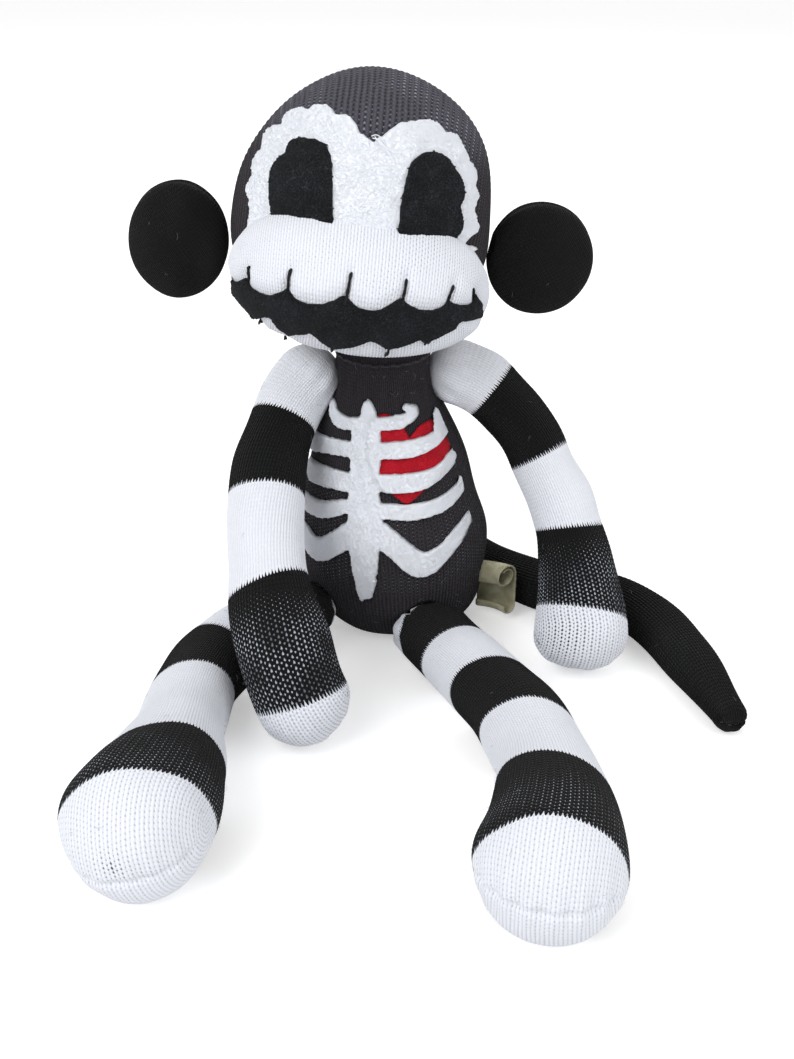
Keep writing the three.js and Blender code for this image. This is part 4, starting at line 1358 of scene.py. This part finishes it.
maskShape = {
    "outline": [
        (-35.4, -9.4), (-36.3, -3.3), (-36.1, -0.7), (-35.7, 1.9), (-36.4, 3.2), (-36.2, 4.5),
        (-37.2, 5.7), (-37.6, 7.2), (-37, 9.4), (-35.8, 12), (-36.3, 13.1), (-36, 15.2),
        (-35.3, 17.3), (-33.7, 20), (-34, 21.2), (-33.4, 23.4), (-31.6, 25.8), (-29.6, 27.2),
        (-28, 27.9), (-27.9, 29.2), (-26.9, 30.8), (-24.9, 32.4), (-22.3, 33.7), (-19.7, 34.1),
        (-18.2, 35.3), (-16, 36), (-13.8, 36.3), (-11.8, 35.5), (-10.4, 34.6), (-8.9, 34.9),
        (-7, 35), (-5.4, 34.3), (-4, 33.3), (-2.9, 31.5), (-1.3, 30.9), (0.4, 30.1), (1.6, 29.7),
        (2.8, 30.7), (4.5, 31.5), (5.6, 32.3), (7.1, 33.4), (9.1, 34.5), (11.5, 35), (14.6, 35.3),
        (17.8, 35.4), (20.4, 35), (22.3, 33.8), (23.7, 32.4), (24.7, 31.9), (26.3, 31.6),
        (28.3, 30.3), (29.7, 28.4), (31, 26.5), (32.2, 24.1), (33.6, 22.6), (34.9, 20.6),
        (35.4, 18.4), (35, 16.9), (36, 15), (36.5, 13.3), (35.7, 11.3), (35.6, 9.5), (37, 6.5),
        (37.8, 4.1), (37.1, 2), (35.4, 1.3), (34.2, -0.5), (33.2, -5.1),
    ],
    "thickness": 1.2,
    "base": 0.3,
    "corners": (-41, -10, 42, 39),
    "seed": 41,
}
addFelt(
    "mask_felt", insideOf(closedLine(maskShape["outline"], 480)), maskShape, headFront,
    "head", whiteFelt, "eye_mask",
)

eyeShapes = {
    "right_eye": [
        (-27, 0.1), (-27.3, 3.1), (-27.9, 5), (-28.4, 7.5), (-28.7, 10.2), (-28.7, 12.9),
        (-28.5, 15.3), (-28, 17.1), (-27.2, 18.5), (-26.1, 19.8), (-24.7, 21.5), (-24.1, 23.2),
        (-23.1, 25), (-21.7, 25.8), (-20, 26.6), (-17.9, 26.8), (-15.7, 27.2), (-14.1, 26.8),
        (-12.6, 26.5), (-11.5, 25.1), (-10.6, 23.5), (-10, 21.2), (-9.6, 18.6), (-9.2, 14.9),
        (-8.8, 10.8), (-8.1, 6), (-7.8, 1.7),
    ],
    "left_eye": [
        (10.6, 1.2), (11, 5.2), (11.3, 8.7), (11.3, 11.5), (11.6, 14.7), (12, 17.5), (12.4, 20.2),
        (12.9, 22.8), (13.6, 24.5), (14.7, 25.6), (16.3, 26.6), (18.4, 27.1), (20.4, 27),
        (22.7, 26.3), (24.6, 25.1), (25.9, 23.5), (27.1, 22), (28.4, 20.7), (29.5, 18.7),
        (30.3, 16.5), (30.7, 15), (30.5, 13.1), (29.8, 11.9), (30.4, 10.1), (31, 7.9), (31.4, 5.8),
        (31.1, 4), (30.1, 2), (29.2, -1.9),
    ],
}
eyeSetup = {"base": 1.75, "thickness": 1.15}
for eyeName, points in eyeShapes.items():
    outline = throughPoints(points, 260)
    corners = (outline[:, 0].min() - 2, -3, outline[:, 0].max() + 2, 31)
    addFelt(
        f"{eyeName}_felt", insideOf(outline),
        {**eyeSetup, "corners": corners, "seed": 51 + len(eyeName)}, headFront, "head",
        blackFelt, eyeName,
    )

mouthSetup = {"base": 0.35, "thickness": 1.1, "corners": (-43, -20, 43, 8), "seed": 61}
addFelt(
    "mouth_felt", insideOf(mouthLine), mouthSetup, onMuzzle, "head", blackFelt,
    "mouth",
)

heartShape = {
    "outline": [
        (2.2, 93.7), (4.9, 92.9), (7.7, 90.5), (9.9, 87.9), (11.8, 84.6), (12.2, 86.2), (13.3, 87.9),
        (14.9, 89.1), (17, 88.7), (19.3, 86.4), (20.9, 83.4), (22.5, 79.6), (23.4, 76.4), (23.3, 73.8),
        (22.1, 71.3), (20.1, 68.3), (17.3, 65.3), (15.2, 63.2), (13.6, 62.1), (11.8, 62.7), (8.5, 65.2),
        (5.1, 68.3), (1.9, 72.4), (-0.5, 77.6), (-1.8, 83.3), (-1.7, 88.8), (-0.2, 92.4),
    ],
    "base": 0.35,
    "thickness": 0.85,
    "corners": (-2, 58, 30, 95),
    "seed": 71,
    "grid": 0.35,
}
insideHeart = insideOf(closedLine(heartShape["outline"], 200))
addFelt(
    "heart_felt", insideHeart, heartShape, bodyFront, "torso", redFelt, "heart",
)

ribcage = {
    "thickness": 1.3,
    "base": 0.35,
    "overHeart": 0.95,
    "corner": 3,  # how far a rib's strip and the sternum blend where they meet
    "corners": (-33, 18, 37, 102),
    "seed": 81,
    "sternum": [
        (-3.9, 98.3), (-2.3, 97.2), (-1, 95.2), (0.3, 92.6), (2.1, 87.5), (2.7, 84.1), (3.3, 78.3),
        (3.2, 73), (3.4, 66.2), (4.3, 62.7), (4.8, 56.4), (5.1, 51.4), (5.1, 45.9), (4.9, 41.8),
        (4.6, 36.7), (4, 33.6), (4.2, 31.9), (3.3, 28.7), (2, 24.6), (0.8, 23.9), (-0.4, 23.7),
        (-1.7, 21.9), (-2.9, 23.4), (-4, 27.4), (-4, 30.2), (-4.7, 32.8), (-5.6, 37.8), (-5.8, 41),
        (-6.8, 43.9), (-7.5, 49.5), (-7.7, 54.4), (-8.1, 62.5), (-8.1, 65), (-8.4, 72), (-8.8, 76.9),
        (-8.9, 82.8), (-9, 87.2), (-6.5, 91.8), (-6.1, 94.2), (-5.4, 96.8), (-3.9, 98.3),
    ],
    "ribs": [  # points of each rib's middle line, with its half width there
        [
            (-1.3, 90, 2.2), (1.6, 90.4, 2.4), (5, 90.7, 2.4), (8.7, 91.1, 2.5), (10.8, 92.4, 2.1),
            (10.6, 94.6, 1.4), (9.1, 95.7, 1.1),
        ],
        [
            (-0.3, 80.8, 2.9), (3, 81, 2.9), (7.8, 81.4, 3), (12.5, 81.5, 3.1), (16.6, 82.2, 2.9),
            (19.7, 83.3, 2.6), (20.9, 85.2, 2.4), (19.6, 88.4, 1.9), (17.6, 91.2, 0.9),
        ],
        [
            (0.7, 69.3, 3.4), (4, 69.7, 3.4), (8.9, 69.8, 3.4), (13.7, 70, 3.4), (18, 70.3, 3.3),
            (21.3, 71.2, 3), (23.4, 72.9, 2.6), (23.9, 75, 1.6),
        ],
        [
            (1.6, 59.3, 2.8), (4.9, 59.5, 2.9), (9.8, 59.4, 2.9), (15.4, 59.2, 3), (20.7, 59.4, 3),
            (25, 60, 2.9), (27.7, 61.2, 2.7), (28.8, 62.8, 2), (28.8, 64.8, 1.2),
        ],
        [
            (0.5, 53.5, 4.5), (5.2, 50.9, 4.5), (9.6, 47.5, 4.2), (14.3, 43, 4.2), (18.1, 39.5, 4.6),
            (20.9, 38.9, 4.9), (24.1, 40.6, 4), (27, 43.3, 3.3), (28.8, 46.3, 2.8), (30, 48.9, 2),
            (31, 51, 1),
        ],
        [
            (-3.5, 89.8, 2.2), (-7, 89.3, 2.2), (-11, 88.5, 2.3), (-15.1, 88.6, 2.5),
            (-18, 89.8, 2.3), (-19, 91.8, 2),
        ],
        [(-2.5, 80.6, 2.8), (-8.8, 80, 2.9), (-15.5, 79.1, 2.9), (-23.4, 77, 3), (-28.1, 74.8, 3)],
        [(-1.5, 69.1, 3.6), (-8.5, 68.5, 3.5), (-14.1, 68.1, 3.4), (-21, 66.8, 3.5), (-27.6, 65.2, 3.5)],
        [(-0.9, 60.8, 2.7), (-8.1, 59.9, 2.6), (-12.8, 58.1, 2.9), (-19.8, 55.1, 3.2), (-28, 53.4, 3.4)],
        [
            (0.1, 53.8, 4.3), (-4.3, 51.5, 4.5), (-8.2, 48.2, 4.4), (-13.4, 43.9, 4.2),
            (-18.8, 39.8, 4.3), (-23.7, 38.4, 4.6), (-28.6, 40.6, 4.4),
        ],
    ],
}


def insideRibcage(x, z):
    # One cut: the sternum's outline and every rib's strip, with soft inner corners
    inside = insideOutline(x, z, throughPoints(ribcage["sternum"], 240))
    for rib in ribcage["ribs"]:
        strip = insideStrip(x, z, throughPoints(rib, 40))
        soft = np.clip(0.5 + (strip - inside) / ribcage["corner"], 0, 1)
        inside = inside * (1 - soft) + strip * soft + ribcage["corner"] / 4 * soft * (1 - soft)
    return inside


def ribcageBase(x, z):  # it rises over the heart
    return ribcage["base"] + ribcage["overHeart"] * smooth(insideHeart(x, z), -1.8, 0.6)


addFelt(
    "ribcage_felt", insideRibcage, {**ribcage, "base": ribcageBase}, bodyFront, "torso",
    whiteFelt, "ribcage",
)
print("stage: felt cut")


# Thread


def threadPiece(name, lines, radius, bodyName, material, replaced=(), twist=0.9):
    piece = gridMesh(name, tubesAlong(np.asarray(lines), radius, 8, twist))
    finishPiece(piece, bodyName, material, replaced)


toothThread = {
    "radius": 0.48, "steps": 24, "ontoFelt": 1.8, "curl": 0.25, "lift": 0.45, "overFelt": 1.2,
    "dive": 1.3,
}


def toothLine(lowEnd, highEnd):
    # From on the felt's cusp up to the knit, where it dives in at both ends
    t = np.linspace(0, 1, toothThread["steps"])
    lean = (highEnd[0] - lowEnd[0]) / (highEnd[1] - lowEnd[1])
    onto = toothThread["ontoFelt"]
    z = lowEnd[1] - onto + (highEnd[1] - lowEnd[1] + onto) * t
    curl = toothThread["curl"] * np.sin(3 * t + lowEnd[0]) * t
    x = lowEnd[0] + lean * (z - lowEnd[1]) + curl
    height = toothThread["lift"] + toothThread["overFelt"] * (1 - smooth(t, 0.0, 0.25))
    return onMuzzle(x, z, height - toothThread["dive"] * smooth(t, 0.86, 1))


for number, (lowEnd, highEnd) in enumerate(muzzle["teeth"], 1):
    threadPiece(
        f"tooth_thread_{number}", [toothLine(lowEnd, highEnd)], toothThread["radius"], "head",
        blackThread, [f"tooth_stitch_{number}"],
    )


eyeThread = {
    "radius": 0.2, "spacing": 8.5, "reachIn": 1.3, "reachOut": 0.35, "wobble": 0.3, "start": 4,
    "overEye": 0.1, "overMask": 1.7, "diveIn": 0.7, "diveOut": 0.5,
}


def eyeEdgeStitches(outline, number):
    # Short stitches over an eye's edge: from inside it, up and over, down into the mask
    rng = np.random.default_rng(number)
    steps = 800
    line = evenly(outline, steps)
    ahead = unit(np.gradient(line, axis=0))
    out = np.stack([-ahead[:, 1], ahead[:, 0]], 1)
    total = lineLength(line)
    stops = np.arange(eyeThread["start"] + number, total, eyeThread["spacing"])
    index = (stops / total * (steps - 1)).astype(int)
    t = np.linspace(0, 1, 9)[None]
    reach = -eyeThread["reachIn"] + (eyeThread["reachIn"] + eyeThread["reachOut"]) * t
    wobble = rng.uniform(-eyeThread["wobble"], eyeThread["wobble"], len(index))
    slant = wobble[:, None] * (t - 0.5)
    where = line[index][:, None] + out[index][:, None] * reach[..., None]
    where = where + ahead[index][:, None] * slant[..., None]
    over = smooth(t, 0.55, 0.95)
    top = eyeSetup["base"] + eyeSetup["thickness"] + eyeThread["overEye"]
    level = top * (1 - over) + eyeThread["overMask"] * over
    level = level - eyeThread["diveIn"] * (1 - smooth(t, 0, 0.25))
    level = level - eyeThread["diveOut"] * smooth(t, 0.85, 1) + 0 * slant
    return headFront(where[..., 0], where[..., 1], level)


lowStitches = {
    "radius": 0.4, "steps": 16, "length": 4.2, "slant": 0.7, "fan": 0.02, "overFelt": 1.6,
    "overKnit": 0.3, "dive": 0.9,
}


def lowMouthStitch(tipX, tipZ):
    # From the felt down to its tip on the knit: t is 0 on the felt, and both ends dive in
    t = np.linspace(0, 1, lowStitches["steps"])
    x = tipX + lowStitches["slant"] * (1 - t) - lowStitches["fan"] * tipX * (t - 0.5)
    z = tipZ + lowStitches["length"] * (1 - t)
    onKnit = smooth(t, 0.35, 0.6)
    height = lowStitches["overFelt"] * (1 - onKnit) + lowStitches["overKnit"] * onKnit
    dives = 1 - smooth(t, 0, 0.2) + smooth(t, 0.8, 1)
    return onMuzzle(x, z, height - lowStitches["dive"] * dives)


threadPiece(
    "mouth_low_stitches", [lowMouthStitch(x, z) for x, z in muzzle["lowTips"]],
    lowStitches["radius"], "head", blackThread,
)
eyeStitches = np.concatenate([
    eyeEdgeStitches(throughPoints(points, 200), number)
    for number, points in enumerate(eyeShapes.values())
])
threadPiece(
    "eye_stitches", eyeStitches, eyeThread["radius"], "head", blackThread,
    twist=0,
)

looseEnds = {"radius": 0.16, "notch": [
    [(1.2, 30.0, 1.7), (2.8, 29.4, 2.4), (4.6, 28.2, 2.6), (6.4, 26.6, 2.4), (7.4, 25.6, 2)],
    [(1.8, 30.4, 1.6), (3.2, 29.0, 2.6), (5.0, 27.6, 3.2), (6.6, 27.0, 3.3), (7.9, 26.6, 3.1)],
    [(0.8, 30.6, 1.2), (2.2, 30.8, 1.8), (3.6, 30.2, 2.1), (4.6, 29.6, 1.7), (5.0, 28.8, 1.4)],
]}
notchLines = []
for points in looseEnds["notch"]:
    x, z, height = throughPoints(points, 24).T
    notchLines.append(headFront(x, z, height))
threadPiece(
    "notch_thread", notchLines, looseEnds["radius"], "head", whiteThread,
    twist=0,
)

neckSeam = {
    "height": 4.5, "radius": 0.5, "stitches": 26, "lift": 0.35, "waveOut": 0.25, "waveUp": 0.3,
}


def neckRing():
    # A ring round the neck's dome that dips in and out of the cloth at every stitch
    turn = np.linspace(0, 2 * np.pi, 521)
    around = math.sqrt(body["neckRadius"] ** 2 - neckSeam["height"] ** 2) + neckSeam["lift"]
    wave = np.sin(turn * neckSeam["stitches"])
    out, up = around + neckSeam["waveOut"] * wave, neckSeam["waveUp"] * wave
    line = neckPivot + np.stack([
        out * np.cos(turn), out * np.sin(turn), neckSeam["height"] + up,
    ], -1)
    ring = tubesAlong(line[None, :-1], neckSeam["radius"], 8)[0, 1:-1]
    return np.concatenate([ring, ring[:1]])


neckThread = gridMesh("neck_thread", neckRing())
finishPiece(neckThread, "neck", charcoalThread, ["neck_stitching"])
print("stage: threads sewn")

lint = {
    "radius": 0.04, "length": (0.8, 2.8), "bend": 0.5, "lift": 0.3, "rise": 0.8, "steps": 5,
    "seed": 500, "lowest": 8, "farthestBack": 0.6, "offHead": 1.3, "offEars": 34,
}


def fromMesh(values, label):
    given = np.empty(len(values) * 3, np.float32)
    values.foreach_get(label, given)
    return given.reshape(-1, 3)


def lintOn(name, mesh, allowed, count, bodyName, seed):
    # Stray fibres: each starts at a random vertex of a cover, lies on it along a random
    # direction with a random bend, and stands a little off in the middle
    rng = np.random.default_rng(seed)
    places = fromMesh(mesh.vertices, "co") / mm
    normals = fromMesh(mesh.vertex_normals, "vector")
    picked = rng.choice(np.flatnonzero(allowed(places, normals)), count)
    start, normal = places[picked], normals[picked]
    along = unit(np.cross(normal, rng.normal(size=(count, 3))))
    across = np.cross(normal, along)
    t = np.linspace(0, 1, lint["steps"])[None, :, None]
    length = rng.uniform(*lint["length"], size=(count, 1, 1))
    bend = rng.uniform(-lint["bend"], lint["bend"], size=(count, 1, 1)) * length
    rise = rng.uniform(0, lint["rise"], size=(count, 1, 1)) * np.sin(np.pi * t)
    rise = lint["lift"] + rise
    lines = (
        start[:, None] + along[:, None] * length * (t - 0.5)
        + across[:, None] * bend * (t - 0.5) ** 2 * 2 + normal[:, None] * rise
    )
    piece = gridMesh(name, tubesAlong(lines, lint["radius"], 3, 0))
    finishPiece(piece, bodyName, lintFibre)


def facingOut(places, normals):  # off the floor, and not at the back
    return (places[:, 2] > lint["lowest"]) & (normals[:, 1] < lint["farthestBack"])


def farFromHead(places, _):
    return headSize(worldToHead(places)) > lint["offHead"]


def farFromEars(places, normals):
    middle = np.abs(worldToHead(places)[:, 0]) < lint["offEars"]
    return facingOut(places, normals) & middle


lintOnCovers = {  # how many fibres, and where they may start
    "body": (90, facingOut), "head": (80, farFromEars), "tail": (10, facingOut),
    "right_ear": (6, farFromHead), "left_ear": (6, farFromHead),
    "right_arm": (24, facingOut), "left_arm": (24, facingOut),
    "right_leg": (30, facingOut), "left_leg": (30, facingOut),
}
for number, (coverName, (count, allowed)) in enumerate(lintOnCovers.items()):
    mesh = bpy.data.objects[f"{coverName}_knit"].data
    bodyName = "torso" if coverName == "body" else coverName
    lintOn(f"{coverName}_lint", mesh, allowed, count, bodyName, lint["seed"] + number)
print("stage: lint laid")

tag = {
    "top": 25, "foot": 4.5, "rollRadius": 4.5, "rollTurns": 1.35, "tightening": 0.42,
    "footRadius": 2.5, "footTurns": 0.575, "thickness": 0.7, "start": 31.5, "length": 17,
    "turn": (-9, -52), "lateTurn": 1.3, "rise": 1.5, "flare": 0.1,
}


def tagSection():
    # Toward the viewer and up: a spiral that winds in, a straight fall and a curved foot
    roll, foot = tag["rollRadius"], tag["footRadius"]
    t = np.linspace(1, 0, 60)
    turn = 2 * np.pi * tag["rollTurns"] * t
    radius = roll * (1 - tag["tightening"] * t)
    up = tag["top"] - roll + radius * np.sin(turn)
    spiral = np.stack([roll - radius * np.cos(turn), up], 1)
    low = tag["foot"] + foot
    fall = np.stack([0 * t[:20], np.linspace(tag["top"] - roll, low, 22)[1:-1]], 1)
    bend = np.linspace(0, 2 * np.pi * tag["footTurns"], 20)
    curl = np.stack([foot * (1 - np.cos(bend)), low - foot * np.sin(bend)], 1)
    return evenly(np.vstack([spiral, fall, curl]), 130)


def tagRibbon():
    # The section is carried outward from the body's side along a level line that bends
    # toward the viewer. Its two faces meet at both ends of the line.
    section = tagSection()
    ahead = unit(np.gradient(section, axis=0))
    out = np.stack([-ahead[:, 1], ahead[:, 0]], 1)
    loop = np.vstack([section, section[::-1], section[:1]])
    side = np.vstack([out, -out[::-1], out[:1]])
    t = np.linspace(0, 1, 26)
    first, last = tag["turn"]
    angle = np.radians(first + (last - first) * t ** tag["lateTurn"])
    step = tag["length"] / (len(t) - 1)
    start = tag["start"] * np.array([math.cos(angle[0]), math.sin(angle[0])])
    line = start + np.cumsum(np.stack([np.cos(angle), np.sin(angle)], 1) * step, axis=0)
    toViewer = np.stack([np.sin(angle), -np.cos(angle)], 1)
    half = np.full(len(t), tag["thickness"] / 2)
    half[[0, -1]] = 0
    at = loop[None] + side[None] * half[:, None, None]
    flare = 1 + tag["flare"] * t[:, None]
    flat = line[:, None] + toViewer[:, None] * (at[..., 0] * flare)[..., None]
    height = at[..., 1] + tag["rise"] * (t**2)[:, None] * smooth(at[..., 1], 8, 22)
    return np.concatenate([flat, height[..., None]], -1)


ribbon = gridMesh("tag_ribbon", tagRibbon())
finishPiece(ribbon, "torso", ribbonCloth, ["side_tag"])
print("stage: tag made")


# Stage and light

studio = {
    "floor": ink(243, 243, 243),
    "floorGlow": 0.42,
    "worldStrength": 0.54,
    "lamps": [
        ((-0.55, -0.6, 0.75), 0.7, 6.7),
        ((0.7, -0.5, 0.5), 0.6, 2.9),
        ((0.1, 0.7, 0.8), 0.8, 2.8),
    ],
    "aim": (0, -0.05, 0.08),
}


def makeStudio(setup):
    mesh = bpy.data.meshes.new("floor")
    mesh.from_pydata([(-4, -4, 0), (4, -4, 0), (4, 4, 0), (-4, 4, 0)], [], [(0, 1, 2, 3)])
    paper, desk, shader = newMaterial("floorPaper", 0.9, gloss=0.5)
    shader["Base Color"].default_value = setup["floor"]
    # The camera sees the paper a little brighter than it lights the toy
    shader["Emission Color"].default_value = (1, 1, 1, 1)
    seenStraight = paper.node_tree.nodes.new("ShaderNodeLightPath").outputs["Is Camera Ray"]
    desk.put(shader["Emission Strength"], desk.times(seenStraight, setup["floorGlow"]))
    mesh.materials.append(paper)
    addObject("floor", mesh)
    world = bpy.data.worlds.new("studioSky")
    world.use_nodes = True
    bpy.context.scene.world = world
    desk = NodeDesk(world.node_tree)
    path = world.node_tree.nodes.new("ShaderNodeLightPath").outputs
    # The sky is white where it is seen, and lights the toy less
    seen = desk.math("MAXIMUM", path["Is Glossy Ray"], path["Is Transmission Ray"])
    seen = desk.math("MAXIMUM", path["Is Camera Ray"], seen)
    strength = desk.timesPlus(seen, 1 - setup["worldStrength"], setup["worldStrength"])
    background = world.node_tree.nodes["Background"].inputs
    background["Color"].default_value = (1, 1, 1, 1)
    desk.put(background["Strength"], strength)
    for number, (place, size, power) in enumerate(setup["lamps"]):
        data = bpy.data.lights.new(f"lamp{number}", "AREA")
        data.size, data.energy = size, power
        x, y, z = np.array(setup["aim"]) - np.array(place)
        turn = (math.atan2(math.hypot(x, y), -z), 0, math.atan2(x, -y) + math.pi)
        addObject(f"lamp{number}", data, place, turn)


makeStudio(studio)
bpy.context.scene.view_settings.view_transform = "Standard"
print("stage: studio lit")
